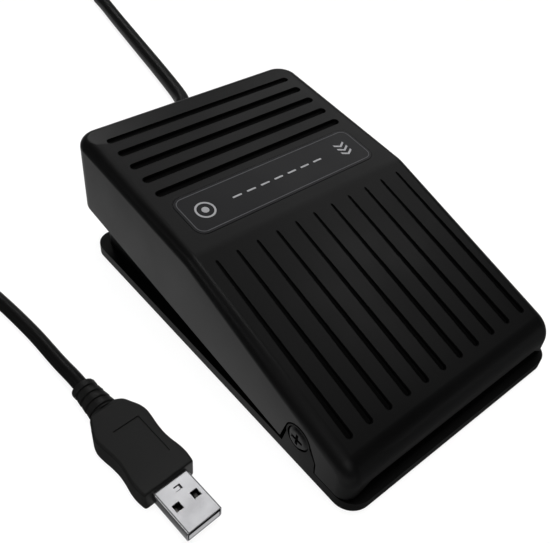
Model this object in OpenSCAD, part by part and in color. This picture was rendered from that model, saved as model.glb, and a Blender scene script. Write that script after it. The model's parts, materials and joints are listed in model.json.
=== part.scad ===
// Foot pedal switch for a desk computer.
// A hollow treadle rocks on two shoulder screws in the ears of a base tray. A coil spring holds
// its rear end up, and a post under it works a snap switch on the circuit board. The cord leaves
// the rear of the tray through a strain relief and ends in a flat four-pole plug.
// Millimetres. X is to the right seen from the toe end, Y to the rear, Z up from the floor.
// The origin is on the floor, in the middle of the pedal's length and width.

/* [Overall] */
// Width across the tray and the lower edge of the treadle
overall_w = 97; // [94:0.5:102]
// Length from the front of the tray to the rear of the treadle
overall_l = 149.2; // [147:0.2:152]

/* [Tray] */
// Length of the tray
tray_l = 141.8; // [140:0.2:144]
// Radius of the tray's corners in plan
tray_corner_r = 7; // [6:0.5:9]
// Height of the tray's rim
rim_h = 3.8; // [3.4:0.1:4.4]
// Thickness of the tray's floor
floor_t = 2.2; // [1.8:0.1:2.8]
// Width of the lip round the underside
lip_w = 2.4; // [1.6:0.1:4]
// Thickness of the tray's upright wall
wall_t = 2; // [1.6:0.1:2.6]
// Corner radius of the upright wall
wall_corner_r = 6; // [4:0.5:8]
// Height by which the upright wall overlaps the treadle's lower edge
wall_lap = 2.5; // [1.5:0.1:4]
// Ledge behind the upright wall
rear_ledge = 1.6; // [1:0.1:3]
// Thickness of the ribs under the floor
floor_rib_t = 1.6; // [1.2:0.1:2.4]

/* [Rubber feet] */
// Diameter of a foot
foot_d = 14; // [10:0.5:16]
// Thickness of a foot
foot_t = 2.2; // [1.8:0.1:2.6]
// How far a foot stands out of the tray
foot_proud = 1.2; // [0.8:0.1:1.6]
// Distance of a foot's centre from the tray's edges
foot_inset = 13; // [12:0.5:18]

/* [Pivot] */
// Distance of the pivot behind the tray's front edge
pivot_from_front = 24.1; // [23:0.1:26]
// Height of the pivot above the tray's underside
pivot_h = 11.5; // [11:0.1:12.5]
// Radius of the round top of an ear
ear_r = 5; // [4.8:0.1:5.4]
// Reach of an ear's foot behind the pivot
ear_rear = 6.4; // [6:0.1:7.4]
// Reach of an ear's foot in front of the pivot
ear_front = 8.2; // [7.4:0.1:9]
// Gap between an ear and the treadle
ear_gap = 0.5; // [0.4:0.05:0.8]
// Diameter of a pivot screw's head
head_d = 8.2; // [7:0.1:8.6]
// Height of a pivot screw's head
head_h = 2.2; // [1.6:0.1:2.6]
// Depth to which the head is sunk in the ear
head_sink = 1.9; // [1.4:0.1:2.4]
// Diameter of a pivot screw's shoulder
shoulder_d = 4; // [3.6:0.1:4.4]
// Diameter of a pivot screw's threaded end
thread_d = 3; // [2.6:0.1:3.4]
// Wall of a pivot bush
bush_t = 1; // [0.8:0.1:1.3]
// Diameter of a lug under the treadle
lug_d = 9; // [8:0.1:10]
// Length of a lug
lug_l = 8; // [6:0.5:10]
// Travel of the treadle in degrees
press_deg = 5.5; // [4:0.1:5.8]

/* [Treadle] */
// Wall thickness of the treadle
shell_t = 2.4; // [2:0.1:2.8]
// Distance of the treadle's front behind the tray's front
toe_setback = 2.4; // [2:0.1:3.6]
// Distance of the crease behind the tray's front
crease_from_front = 79.2; // [76:0.1:82]
// Height of the crease above the tray's underside
crease_h = 40; // [39:0.1:42]
// Slope of the rear deck in degrees
deck_deg = 6.8; // [6:0.1:7.5]
// Slope of the front face in degrees
slope_deg = 17; // [16:0.1:17.6]
// Rise of the treadle's lower edge behind the pivot in degrees
hem_deg = 6.9; // [6.5:0.1:7.5]
// Gap between the tray's rim and the treadle's lower edge
hem_gap = 0.7; // [0.6:0.1:1.4]
// Height of the front lip above the tray's underside
lip_h = 9; // [7.4:0.1:10]
// Radius of the round along the top edges
edge_r = 3.6; // [3.2:0.1:4.4]
// Corner radius of the treadle in plan
corner_r = 8; // [7:0.5:10]
// Radius of the round nose, seen from the side
toe_r = 9; // [8:0.1:9.6]
// Corner radius of the nose in plan
toe_corner_r = 5; // [4.5:0.5:7]
// Radius of the soft crease
crease_r = 16; // [8:1:24]
// Draft of the side walls in degrees
draft_deg = 0.3; // [0.2:0.1:0.8]
// Depth of the stiffening ribs
rib_h = 4; // [2:0.5:5]
// Thickness of the stiffening ribs
rib_t = 1.6; // [1.2:0.1:2]

/* [Grip grooves] */
// Number of grooves across the deck
deck_grooves = 5; // [3:1:5]
// Spacing of the grooves across the deck
deck_pitch = 7.56; // [7:0.02:7.7]
// Distance of the rear groove from the treadle's rear
deck_groove_rear = 11.8; // [11.4:0.1:13]
// Length of a groove across the deck
deck_groove_l = 81.3; // [76:0.1:84]
// Width of a groove across the deck
deck_groove_w = 2.6; // [2:0.1:3.2]
// Number of grooves down the slope
slope_grooves = 11; // [7:2:11]
// Spacing of the grooves down the slope
slope_pitch = 8.08; // [7.6:0.02:8.2]
// Distance of a slope groove's upper end in front of the crease
slope_groove_top = 4.2; // [3.5:0.1:6]
// Length of a slope groove in plan
slope_groove_l = 63.1; // [58:0.1:64]
// Width of a slope groove
slope_groove_w = 2.3; // [1.8:0.1:3]
// Depth of the grooves, on the slope at their lower end
groove_depth = 1.4; // [0.8:0.1:1.5]
// Depth of a slope groove at its upper end
groove_fade = 0.5; // [0.4:0.1:0.8]

/* [Label] */
// Width of the label
label_w = 78.6; // [72:0.2:80]
// Depth of the label, front to rear
label_l = 18; // [15:0.2:18.4]
// Distance of the label's front edge behind the crease
label_from_crease = 5.5; // [4.5:0.1:6.5]
// Corner radius of the label
label_r = 4; // [2:0.5:6]
// Thickness of the label
label_t = 0.4; // [0.3:0.05:0.6]
// Depth of the label's recess
label_recess = 0.3; // [0.2:0.05:0.5]

/* [Return spring] */
// Distance of the spring behind the pivot
spring_from_pivot = 88; // [84:0.5:92]
// Outside diameter of the spring
spring_d = 15.4; // [14:0.1:17]
// Diameter of the spring's wire
spring_wire = 1.4; // [1.2:0.1:1.6]
// Number of turns
spring_turns = 8; // [6:1:9]
// Length of the spring in place
spring_l = 29; // [26:0.5:32]
// Height of the cup round the spring's foot
cup_h = 5; // [3:0.5:7]

/* [Stops] */
// Diameter of a rubber stop
stop_d = 9; // [7:0.5:11]
// Thickness of a rubber stop
stop_t = 3; // [2:0.5:4]
// Distance of the stops from the tray's side walls
stop_from_wall = 8.5; // [7.5:0.5:10.5]
// Distance of the stops in front of the cord's clamp
stop_from_clamp = 18.1; // [14:0.1:22]

/* [Circuit board] */
// Width of the board
board_w = 54; // [52:0.5:60]
// Length of the board
board_l = 54; // [52:0.5:58]
// Thickness of the board
board_t = 1.6; // [1.2:0.1:2]
// Height of the board above the tray's floor
board_stand = 4; // [3.6:0.1:5]
// Distance of the board's middle behind the pivot
board_from_pivot = 45; // [44:0.5:46]
// Diameter of a board screw's shank
board_screw_d = 2.6; // [2.4:0.1:3]

/* [Snap switch] */
// Length of the switch
switch_l = 19.8; // [19:0.1:21]
// Width of the switch
switch_w = 6.4; // [6:0.1:7]
// Height of the switch
switch_h = 10.2; // [9.6:0.1:11]
// Distance of the treadle's post behind the pivot
post_from_pivot = 33.4; // [32:0.1:35]
// Diameter of the treadle's post
post_d = 6; // [5:0.1:7]
// Distance from the lever's hinge to the post
lever_arm = 15.8; // [15:0.1:17]
// Thickness of the lever
lever_t = 0.4; // [0.3:0.05:0.5]
// Diameter of the plunger
plunger_d = 1.8; // [1.6:0.1:2.2]
// Distance from the lever's hinge to the plunger
plunger_arm = 5; // [4.6:0.1:5.6]

/* [Cord] */
// Diameter of the cord
cord_d = 5; // [4.6:0.1:5.4]
// Diameter of the sleeve over the cord next to the pedal
sleeve_d = 6.5; // [5.8:0.1:7]
// Distance of the cord's outlet from the pedal's side
cord_from_side = 24.5; // [23.5:0.5:25.5]
// Diameter of the strain relief at the wall
gland_d = 8.4; // [8:0.1:9]
// Diameter of the strain relief's flanges
gland_flange_d = 10.8; // [10.4:0.1:12]
// Length of the strain relief outside the wall
gland_l = 20; // [18:0.5:22]
// Length of the clamp bar
clamp_w = 24; // [22:0.5:25]
// Width of the clamp bar
clamp_l = 7; // [6:0.5:7.5]
// Thickness of the clamp bar
clamp_t = 4; // [3.6:0.1:5]
// Diameter of a clamp screw's shank
clamp_screw_d = 2.6; // [2.4:0.1:3]
// Diameter of one inner wire
wire_d = 1.2; // [1:0.1:1.3]

/* [Coil put away] */
// Number of loops in the coil
coil_turns = 6; // [4:2:6]
// Radius of the coil at the middle of its turns
coil_mid_r = 30; // [27:0.5:30]
// Gap between neighbouring loops
coil_gap = 0.6; // [0.5:0.05:0.8]
// Thickness of the tie
tie_t = 0.5; // [0.4:0.05:0.8]
// Width of the tie
tie_w = 6; // [4:0.5:10]

/* [Plug] */
// Width of the metal shell
usb_w = 12; // [11.9:0.05:12.1]
// Height of the metal shell
usb_h = 4.5; // [4.4:0.05:4.6]
// Length of the metal shell in front of the grip
usb_l = 15.5; // [14.8:0.1:19]
// Wall of the metal shell
usb_t = 0.3; // [0.25:0.05:0.4]
// Length of the grip
grip_l = 32.2; // [28:0.2:36]
// Width of the grip
grip_w = 18; // [17:0.1:19]
// Thickness of the grip
grip_h = 8.2; // [7.6:0.1:9]
// Length of the ribbed boot
boot_l = 12.8; // [10:0.1:15]
// Diameter of the ribbed boot
boot_d = 7.2; // [6.8:0.1:8]

/* [Hidden] */
$fn = 48;

// Colours, as sRGB shares
black_shell = [0.15, 0.15, 0.155];
black_tray = [0.10, 0.10, 0.10];
black_rubber = [0.07, 0.07, 0.07];
black_steel = [0.09, 0.09, 0.10];
black_cord = [0.11, 0.11, 0.11];
label_grey = [0.20, 0.20, 0.23];
plated_steel = [0.75, 0.75, 0.77];
brass = [0.80, 0.66, 0.35];
board_green = [0.05, 0.32, 0.16];
nylon_white = [0.90, 0.89, 0.85];
black_tongue = [0.08, 0.08, 0.08];

// Clearances
// Skin: lets one piece be drawn inside another's outline without sharing its faces
skin = 0.02;
// Side gap between the treadle and the tray's upright wall
skirt_play = 1.6;
// Gap between the treadle's nose and the tray's upright wall
toe_play = 2.6;
// Side gap between a lug and the tray's upright wall
lug_play = 0.4;
// Radial gap of a turning shoulder in its bush
running_play = 0.05;
// Gap round a screw's head or shank, a foot, a label or a pin
easy_play = 0.15;
// Gap between a moving piece and what stops it
stop_play = 0.3;
// Gap between the lever and the post that works it
lever_play = 0.35;
// Gap round the strain relief where the treadle passes it
notch_play = 1;

// Main levels and places
half_w = overall_w / 2;
y_front = -overall_l / 2;
y_rear = overall_l / 2;
tray_mid_y = y_front + tray_l / 2;
tray_rear_y = y_front + tray_l;
z_tray = foot_proud;
z_rim = z_tray + rim_h;
z_hem = z_rim + hem_gap;
pivot_y = y_front + pivot_from_front;
pivot_z = z_tray + pivot_h;
crease_y = y_front + crease_from_front;
crease_z = z_tray + crease_h;
toe_y = y_front + toe_setback;
lip_z = z_tray + lip_h;

// The treadle's top at y, its lower edge at y, and the middle of its top wall
function deck_z(y) = crease_z + tan(deck_deg) * (y - crease_y);
function slope_z(y) = crease_z + tan(slope_deg) * (y - crease_y);
function top_z(y) = min(deck_z(y), slope_z(y));
function hem_z(y) = z_hem + tan(hem_deg) * max(0, y - pivot_y);
function mid_z(y) = top_z(y) - shell_t / 2 / cos(y > crease_y ? deck_deg : slope_deg);
function under_z(y) = top_z(y) - shell_t / cos(y > crease_y ? deck_deg : slope_deg);
// Height of a treadle point at full travel, and the rest height that gives a height at full travel
function pressed_z(y, z) = pivot_z - (y - pivot_y) * sin(press_deg) + (z - pivot_z) * cos(press_deg);
function rest_z(y, z) = pivot_z + (z - pivot_z + (y - pivot_y) * sin(press_deg)) / cos(press_deg);

// Upright wall of the tray
wall_half = half_w - shell_t - skirt_play;
wall_in = wall_half - wall_t;
wall_front_y = toe_y + shell_t + toe_play;
wall_rear_y = tray_rear_y - rear_ledge;
wall_mid_y = (wall_front_y + wall_rear_y) / 2;
wall_l = wall_rear_y - wall_front_y;
wall_front_z = lip_z + 1;
wall_bend_y = pivot_y + (wall_front_z - wall_lap - z_hem) / tan(hem_deg);
wall_rear_z = hem_z(wall_rear_y) + wall_lap;

// Feet: front and rear rows
foot_x = half_w - foot_inset;
foot_rows = [y_front + foot_inset, tray_rear_y - foot_inset];

// Pivot hardware
bush_d = shoulder_d + 2 * running_play + 2 * bush_t;
sink_d = head_d + 4 * easy_play;
sink_x = half_w - head_sink;
lug_x = wall_in - lug_play;
head_x = sink_x + easy_play;

// Treadle form: leans of the upper stations and their heights
corner_ring = corner_r - edge_r;
rear_lean = tan(draft_deg) * (deck_z(y_rear) - z_hem);
rear_foot_y = y_rear + tan(draft_deg) * (hem_z(y_rear) - z_hem);
crease_lean = tan(draft_deg) * (crease_z - z_hem);
toe_lean = tan(draft_deg) * (slope_z(toe_y + 2 * toe_r) - z_hem);
rear_c_y = rear_foot_y - corner_r - rear_lean;
rear_c_z = deck_z(rear_c_y) - corner_ring * tan(deck_deg) - edge_r / cos(deck_deg);
crease_mean = (deck_deg + slope_deg) / 2;
crease_drop = crease_r / cos((slope_deg - deck_deg) / 2);
crease_c_y = crease_y + crease_drop * sin(crease_mean);
crease_c_z = crease_z - crease_drop * cos(crease_mean);
brow_c_y = toe_y + toe_r + 6;
brow_c_z = slope_z(brow_c_y) - corner_ring * tan(slope_deg) - edge_r / cos(slope_deg);
toe_c_y = toe_y + toe_r;
toe_c_z = slope_z(toe_c_y) - toe_r / cos(slope_deg);

// Label and grooves
label_mid_y = crease_y + label_from_crease + label_l / 2 * cos(deck_deg);
slope_mid_y = crease_y - slope_groove_top - slope_groove_l / 2;
fade_deg = atan((groove_depth - groove_fade) / (slope_groove_l / cos(slope_deg)));
fade_mid = (groove_depth + groove_fade) / 2;

// Spring and post
spring_y = pivot_y + spring_from_pivot;
seat_z = z_rim + spring_l;
spring_mid_r = (spring_d - spring_wire) / 2;
spigot_d = spring_d - 2 * spring_wire - 4;
cup_d = spring_d + 1 + 2 * wall_t;
post_y = pivot_y + post_from_pivot;

// Board and what stands on it
board_y = pivot_y + board_from_pivot;
board_z = z_rim + board_stand;
board_top = board_z + board_t;
board_hole_x = board_w / 2 - 4;
board_hole_y = board_l / 2 - 4;
board_post_d = 7;
board_head_d = 5.4;
board_head_h = 1.8;

// Snap switch: the lever lies level at full travel
hinge_y = post_y + lever_arm;
switch_rear_y = hinge_y + 1.6;
switch_mid_y = switch_rear_y - switch_l / 2;
switch_top = board_top + switch_h;
hinge_z = switch_top - 0.2;
hinge_r = 0.6;
lever_w = switch_w - 2.4;
lever_over = hinge_r - 0.25;
lever_deg = atan(post_from_pivot * sin(press_deg) / lever_arm);
lever_top = hinge_z + (lever_over + lever_t) / cos(lever_deg) + lever_arm * tan(lever_deg);
post_z = lever_top + lever_play;
plunger_y = hinge_y - plunger_arm;
plunger_stroke = plunger_arm * sin(lever_deg);
plunger_top = hinge_z + lever_over / cos(lever_deg) + (plunger_arm - plunger_d / 2) * tan(lever_deg) - 0.01;
plunger_l = 3;
terminal_pitch = 7.3;

// Cord outlet, clamp and wires
cord_x = half_w - cord_from_side;
cord_z = z_rim + gland_flange_d / 2 + stop_play;
cord_bore = cord_d + 0.1;
gland_flange_t = 1.5;
gland_end_y = wall_rear_y + gland_l;
clamp_y = wall_rear_y - wall_t - gland_flange_t - 1 - clamp_l / 2;
clamp_gap = 0.5;
clamp_screw_x = clamp_w / 2 - 3.6;
clamp_head_d = 5;
clamp_head_h = 1.8;
jacket_end_y = clamp_y - clamp_l / 2 - 3;
relief_tip_d = cord_bore + 1.6;
notch_r = gland_d / 2 + notch_play;
notch_z = rest_z(y_rear - shell_t / 2, cord_z);
header_x = 16;
header_y = board_y + board_l / 2 - 12;
header_w = 12.4;
header_l = 5.8;
header_h = 7;
header_plug_h = 8.4;
header_pitch = 2.5;

// Stops
stop_x = wall_in - stop_from_wall;
stop_y = clamp_y - stop_from_clamp;
stop_boss_h = 2;
stop_top_z = z_rim + stop_boss_h + stop_t;
stop_post_d = stop_d - 2;
stop_post_z = rest_z(stop_y, stop_top_z + stop_play) + stop_post_d / 2 * sin(press_deg);

// Circle-sided outlines
module rounded_rect(w, l, r) {
  square([w - 2 * r, l], center = true);
  square([w, l - 2 * r], center = true);
  for (x = [-1, 1], y = [-1, 1])
    translate([x * (w / 2 - r), y * (l / 2 - r)])
      circle(r);
}

module slot_outline(l, w) {
  square([l - w, w], center = true);
  for (s = [-1, 1])
    translate([s * (l - w) / 2, 0])
      circle(d = w);
}

// Draws a side outline, Y across and Z up, as a solid of width w about the middle plane
module across(w) {
  rotate([90, 0, 90])
    linear_extrude(w, center = true)
      children();
}

module both_sides() {
  children();
  mirror([1, 0, 0])
    children();
}

// A ring whose section is round: the hull of a few of them is a form with rounded edges
module round_ring(ring_r, section_r) {
  rotate_extrude($fn = 64)
    intersection() {
      translate([ring_r, 0])
        circle(section_r, $fn = 32);
      translate([0, -section_r])
        square([ring_r + section_r, 2 * section_r]);
    }
}

// Tubes swept along points
function unit(v) = v / norm(v);
function along(p, i) = unit(p[min(i + 1, len(p) - 1)] - p[max(i - 1, 0)]);
function past(p, i) = i < 0 ? 2 * p[0] - p[1]
  : i >= len(p) ? 2 * p[len(p) - 1] - p[len(p) - 2] : p[i];
function blend(a, b, c, d, t) =
  0.5 * (2 * b + (c - a) * t + (2 * a - 5 * b + 4 * c - d) * t * t
  + (3 * b - 3 * c + d - a) * t * t * t);
// A smooth line through the points of p, with the given number of steps from each to the next
function smooth(p, steps) = concat(
  [for (i = [0 : len(p) - 2], k = [0 : steps - 1])
    blend(past(p, i - 1), p[i], p[i + 1], past(p, i + 2), k / steps)],
  [p[len(p) - 1]]);
function run_length(p) = len(p) < 2 ? 0
  : [for (i = 1, s = norm(p[1] - p[0]); i < len(p);
      i = i + 1, s = s + (i < len(p) ? norm(p[i] - p[i - 1]) : 0)) s][len(p) - 2];

module tube(p, d, sides, up = [0, 0, 1]) {
  n = len(p);
  points = [for (i = [0 : n - 1])
    let (t = along(p, i), s = unit(cross(t, up)), u = cross(s, t))
      for (k = [0 : sides - 1])
        p[i] + d / 2 * (cos(360 * k / sides) * s + sin(360 * k / sides) * u)];
  skin_faces = [for (i = [0 : n - 2], k = [0 : sides - 1])
    let (a = i * sides + k, b = i * sides + (k + 1) % sides)
      each [[a, b, b + sides], [a, b + sides, a + sides]]];
  first = [for (k = [1 : sides - 2]) [0, k + 1, k]];
  last = [for (k = [1 : sides - 2]) [(n - 1) * sides, (n - 1) * sides + k, (n - 1) * sides + k + 1]];
  polyhedron(concat(points), concat(skin_faces, first, last), convexity = 10);
}

// A screw along +X from its head's seat at 0: the head stands at x < 0
module pan_screw(d, l, screw_head_d, screw_head_h) {
  rotate([0, 90, 0])
    difference() {
      union() {
        cylinder(d = d, h = l);
        rotate_extrude()
          polygon([[0, 0], [screw_head_d / 2, 0], [screw_head_d / 2, -0.6 * screw_head_h],
            [0.36 * screw_head_d, -screw_head_h], [0, -screw_head_h]]);
      }
      for (a = [0, 90])
        rotate([0, 0, a])
          translate([-0.28 * screw_head_d, -0.06 * screw_head_d, -screw_head_h - 1])
            cube([0.56 * screw_head_d, 0.12 * screw_head_d, 1 + 0.55 * screw_head_h]);
    }
}

// Outline of an ear about the pivot, grown by g: a round top with a long front flank
module ear_outline(g) {
  top_r = ear_r + g;
  in_r = 0.9 * top_r;
  foot = z_rim - pivot_z - 1.5;
  circle(top_r);
  polygon([[ear_rear + g, foot], [in_r * cos(20), in_r * sin(20)],
    [in_r * cos(149), in_r * sin(149)], [-ear_front + 0.5 - g, -3.3],
    [-ear_front - g, foot]]);
}

// Outer form of the treadle, drawn in by inset, with its foot lowered by drop
module treadle_form(inset, drop) {
  hull()
    for (side = [-1, 1]) {
      translate([side * (half_w - corner_r - rear_lean), rear_c_y, rear_c_z])
        round_ring(corner_ring, edge_r - inset);
      translate([side * (half_w - edge_r - crease_lean), crease_c_y, crease_c_z])
        rotate([0, 90, 0])
          round_ring(max(crease_r - edge_r, 0.1), edge_r - inset);
      translate([side * (half_w - corner_r - toe_lean), brow_c_y, brow_c_z])
        round_ring(corner_ring, edge_r - inset);
      translate([side * (half_w - toe_corner_r - toe_lean), toe_c_y, toe_c_z])
        rotate([0, 90, 0])
          round_ring(toe_r - toe_corner_r, toe_corner_r - inset);
      translate([side * (half_w - corner_r), rear_foot_y - corner_r, z_hem - drop])
        cylinder(r = corner_r - inset, h = 0.1);
      translate([side * (half_w - toe_corner_r), toe_y + toe_corner_r, z_hem - drop])
        cylinder(r = toe_corner_r - inset, h = 0.1);
    }
}

// Moulded shell: hollow form, lower edge rising to the rear, front lip, ear notches, grooves,
// label recess and an arch over the cord
module treadle() {
  color(black_shell)
    difference() {
      union() {
        difference() {
          treadle_form(0, 0);
          treadle_form(shell_t, 2);
          across(overall_w + 2)
            polygon([[y_front, z_hem - 9], [y_front, z_hem], [pivot_y, z_hem],
              [y_rear + 2, hem_z(y_rear + 2)], [y_rear + 2, z_hem - 9]]);
          translate([0, toe_y + shell_t + 1, 0])
            rotate([90, 0, 0])
              linear_extrude(shell_t + 3)
                polygon([[2 - half_w, z_hem - 9], [2 - half_w, z_hem], [9 - half_w, lip_z],
                  [half_w - 9, lip_z], [half_w - 2, z_hem], [half_w - 2, z_hem - 9]]);
        }
        treadle_ribs();
        both_sides()
          treadle_lug();
        translate([0, post_y, post_z + post_d / 2]) {
          sphere(d = post_d);
          cylinder(d = post_d, h = mid_z(post_y) - post_z - post_d / 2);
        }
        translate([0, spring_y, seat_z]) {
          cylinder(d = spring_d + 2.6, h = mid_z(spring_y) - seat_z);
          translate([0, 0, -4])
            cylinder(d = spigot_d, h = 4 + shell_t);
        }
        both_sides()
          translate([stop_x, stop_y, stop_post_z])
            cylinder(d = stop_post_d, h = mid_z(stop_y) - stop_post_z);
      }
      both_sides() {
        translate([half_w, pivot_y, pivot_z])
          across(2 * (shell_t + skirt_play / 2)) {
            ear_outline(ear_gap);
            rotate(press_deg)
              ear_outline(ear_gap);
          }
        translate([lug_x - lug_l - 1, pivot_y, pivot_z])
          rotate([0, 90, 0])
            cylinder(d = thread_d + 2 * skin, h = lug_l + 2);
      }
      for (i = [0 : deck_grooves - 1])
        let (y = y_rear - deck_groove_rear - i * deck_pitch)
          translate([0, y, deck_z(y)])
            rotate([deck_deg, 0, 0])
              linear_extrude(2 * groove_depth, center = true)
                slot_outline(deck_groove_l, deck_groove_w);
      for (i = [0 : slope_grooves - 1])
        translate([(i - (slope_grooves - 1) / 2) * slope_pitch, slope_mid_y, slope_z(slope_mid_y)])
          rotate([slope_deg + fade_deg, 0, 0])
            translate([0, 0, -fade_mid])
              linear_extrude(2 * groove_depth)
                rotate(90)
                  slot_outline(slope_groove_l / cos(slope_deg), slope_groove_w);
      label_seat(label_recess, easy_play);
      translate([cord_x, y_rear + 2, notch_z])
        rotate([90, 0, 0])
          cylinder(r = notch_r, h = shell_t + 5);
      translate([cord_x - notch_r, y_rear - shell_t - 3, z_hem])
        cube([2 * notch_r, shell_t + 5, notch_z - z_hem]);
    }
}

// Ribs under the top wall: two along, two across each face, and the stops that meet the tray
module treadle_ribs() {
  front = toe_c_y + 2;
  rear = y_rear - corner_r;
  both_sides() {
    translate([slope_pitch * 2, 0, 0])
      across(rib_t)
        polygon([[front, mid_z(front)], [crease_y, mid_z(crease_y)], [rear, mid_z(rear)],
          [rear, under_z(rear) - rib_h], [crease_y, under_z(crease_y) - rib_h],
          [front, under_z(front) - rib_h]]);
    translate([slope_pitch * 2, 0, 0])
      across(4 * rib_t)
        polygon([[toe_c_y + 2, z_rim + stop_play], [toe_c_y + 4, z_rim + stop_play],
          [toe_c_y + 5, mid_z(toe_c_y + 5)], [toe_c_y + 1, mid_z(toe_c_y + 1)]]);
  }
  for (y = [pivot_y + 20, crease_y - 12, crease_y + 12, y_rear - 20])
    across(2 * (half_w - edge_r - rear_lean - 2))
      polygon([[y, mid_z(y)], [y + rib_t, mid_z(y + rib_t)],
        [y + rib_t, under_z(y) - rib_h], [y, under_z(y) - rib_h]]);
}

// Lug that takes a pivot screw, with a web up to the top wall
module treadle_lug() {
  translate([lug_x - lug_l, pivot_y, pivot_z])
    rotate([0, 90, 0])
      cylinder(d = lug_d, h = lug_l);
  translate([lug_x - lug_l / 2, 0, 0])
    across(lug_l / 2)
      polygon([[pivot_y - lug_d / 2, pivot_z], [pivot_y + lug_d / 2, pivot_z],
        [pivot_y + lug_d / 2 + 2, mid_z(pivot_y + lug_d / 2 + 2)],
        [pivot_y - lug_d / 2 - 1, mid_z(pivot_y - lug_d / 2 - 1)]]);
}

// The label's outline on the deck, h above and below the seat level
module label_seat(depth, play) {
  translate([0, label_mid_y, deck_z(label_mid_y)])
    rotate([deck_deg, 0, 0])
      translate([0, 0, -depth])
        linear_extrude(depth + 2)
          rounded_rect(label_w + 2 * play, label_l + 2 * play, label_r + play);
}

module label_plate() {
  color(label_grey)
    translate([0, label_mid_y, deck_z(label_mid_y)])
      rotate([deck_deg, 0, 0])
        translate([0, 0, -label_recess])
          linear_extrude(label_t)
            rounded_rect(label_w, label_l, label_r);
}

// Shoulder screw: sunk head, shoulder that turns in the bush, threaded end in the lug
module pivot_screws() {
  color(black_steel)
    both_sides()
      translate([head_x, pivot_y, pivot_z])
        mirror([1, 0, 0]) {
          pan_screw(shoulder_d, head_x - lug_x, head_d, head_h);
          rotate([0, 90, 0])
            cylinder(d = thread_d, h = head_x - lug_x + lug_l - 1);
        }
}

module pivot_bushes() {
  color(nylon_white)
    both_sides()
      translate([wall_in, pivot_y, pivot_z])
        rotate([0, 90, 0])
          difference() {
            cylinder(d = bush_d, h = sink_x - wall_in);
            translate([0, 0, -1])
              cylinder(d = shoulder_d + 2 * running_play, h = sink_x - wall_in + 2);
          }
}

// Tray: plate with a hollow underside, upright wall, ears, and the seats of all that it carries
module base_tray() {
  color(black_tray)
    difference() {
      union() {
        translate([0, tray_mid_y, z_tray])
          linear_extrude(rim_h)
            rounded_rect(overall_w, tray_l, tray_corner_r);
        tray_wall();
        both_sides()
          translate([(wall_in + half_w) / 2, pivot_y, pivot_z])
            across(half_w - wall_in)
              ear_outline(0);
        tray_seats();
      }
      difference() {
        translate([0, tray_mid_y, z_tray - 1])
          linear_extrude(1 + rim_h - floor_t)
            rounded_rect(overall_w - 2 * lip_w, tray_l - 2 * lip_w, tray_corner_r - lip_w);
        tray_underside();
      }
      for (y = foot_rows, side = [-1, 1])
        translate([side * foot_x, y, z_tray - 1])
          cylinder(d = foot_d + 2 * easy_play, h = 1 + foot_t - foot_proud);
      both_sides() {
        translate([wall_in - 1, pivot_y, pivot_z])
          rotate([0, 90, 0])
            cylinder(d = bush_d + 2 * skin, h = half_w);
        translate([sink_x, pivot_y, pivot_z])
          rotate([0, 90, 0])
            cylinder(d = sink_d, h = half_w);
      }
      for (x = [-1, 1], y = [-1, 1])
        translate([x * board_hole_x, board_y + y * board_hole_y, z_rim - floor_t + 1])
          cylinder(d = board_screw_d + 2 * skin, h = board_stand + floor_t);
      translate([cord_x, jacket_end_y, cord_z])
        rotate([-90, 0, 0]) {
          cylinder(d = cord_bore, h = wall_rear_y - wall_t - jacket_end_y + 0.5);
          translate([0, 0, wall_rear_y - wall_t - 0.5 - jacket_end_y])
            cylinder(d = gland_d + 2 * skin, h = wall_t + 3);
        }
      for (s = [-1, 1])
        translate([cord_x + s * clamp_screw_x, clamp_y, z_rim])
          cylinder(d = clamp_screw_d + 2 * skin, h = cord_z);
    }
}

// Upright wall, with a top that is level at the front and follows the treadle's edge behind
module tray_wall() {
  intersection() {
    translate([0, wall_mid_y, z_rim - 1])
      linear_extrude(wall_rear_z)
        difference() {
          rounded_rect(2 * wall_half, wall_l, wall_corner_r);
          rounded_rect(2 * wall_in, wall_l - 2 * wall_t, wall_corner_r - wall_t);
        }
    across(overall_w)
      polygon([[y_front, 0], [y_rear, 0], [y_rear, hem_z(y_rear) + wall_lap],
        [wall_bend_y, wall_front_z], [y_front, wall_front_z]]);
  }
}

// Seats on the floor: board posts, spring cup, stop bosses and the clamp's saddle
module tray_seats() {
  sink = 1;
  for (x = [-1, 1], y = [-1, 1])
    translate([x * board_hole_x, board_y + y * board_hole_y, z_rim - sink])
      cylinder(d = board_post_d, h = board_stand + sink);
  translate([0, spring_y, z_rim - sink]) {
    difference() {
      cylinder(d = cup_d, h = cup_h + sink);
      cylinder(d = cup_d - 2 * wall_t, h = cup_h + sink + 1);
    }
    cylinder(d = spigot_d, h = cup_h + 1 + sink);
  }
  for (s = [-1, 1])
    translate([s * stop_x, stop_y, z_rim - sink])
      cylinder(d = stop_d + 1, h = stop_boss_h + sink);
  translate([cord_x - clamp_w / 2, clamp_y - clamp_l / 2, z_rim - sink])
    cube([clamp_w, clamp_l, cord_z - clamp_gap / 2 - z_rim + sink]);
}

// What stays of the plate under the floor: ribs and the bosses round the feet
module tray_underside() {
  for (x = [-0.5, 0, 0.5])
    translate([x * overall_w / 2 - floor_rib_t / 2, y_front, z_tray])
      cube([floor_rib_t, tray_l, rim_h]);
  for (k = [1 : 4])
    translate([-half_w, y_front + k * tray_l / 5 - floor_rib_t / 2, z_tray])
      cube([overall_w, floor_rib_t, rim_h]);
  for (y = foot_rows, side = [-1, 1])
    translate([side * foot_x, y, z_tray])
      cylinder(d = foot_d + 2 * easy_play + 3, h = rim_h);
}

module rubber_feet() {
  color(black_rubber)
    for (y = foot_rows, side = [-1, 1])
      translate([side * foot_x, y, 0])
        rotate_extrude()
          polygon([[0, 0], [foot_d / 2 - 0.8, 0], [foot_d / 2, 0.8],
            [foot_d / 2, foot_t], [0, foot_t]]);
}

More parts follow.
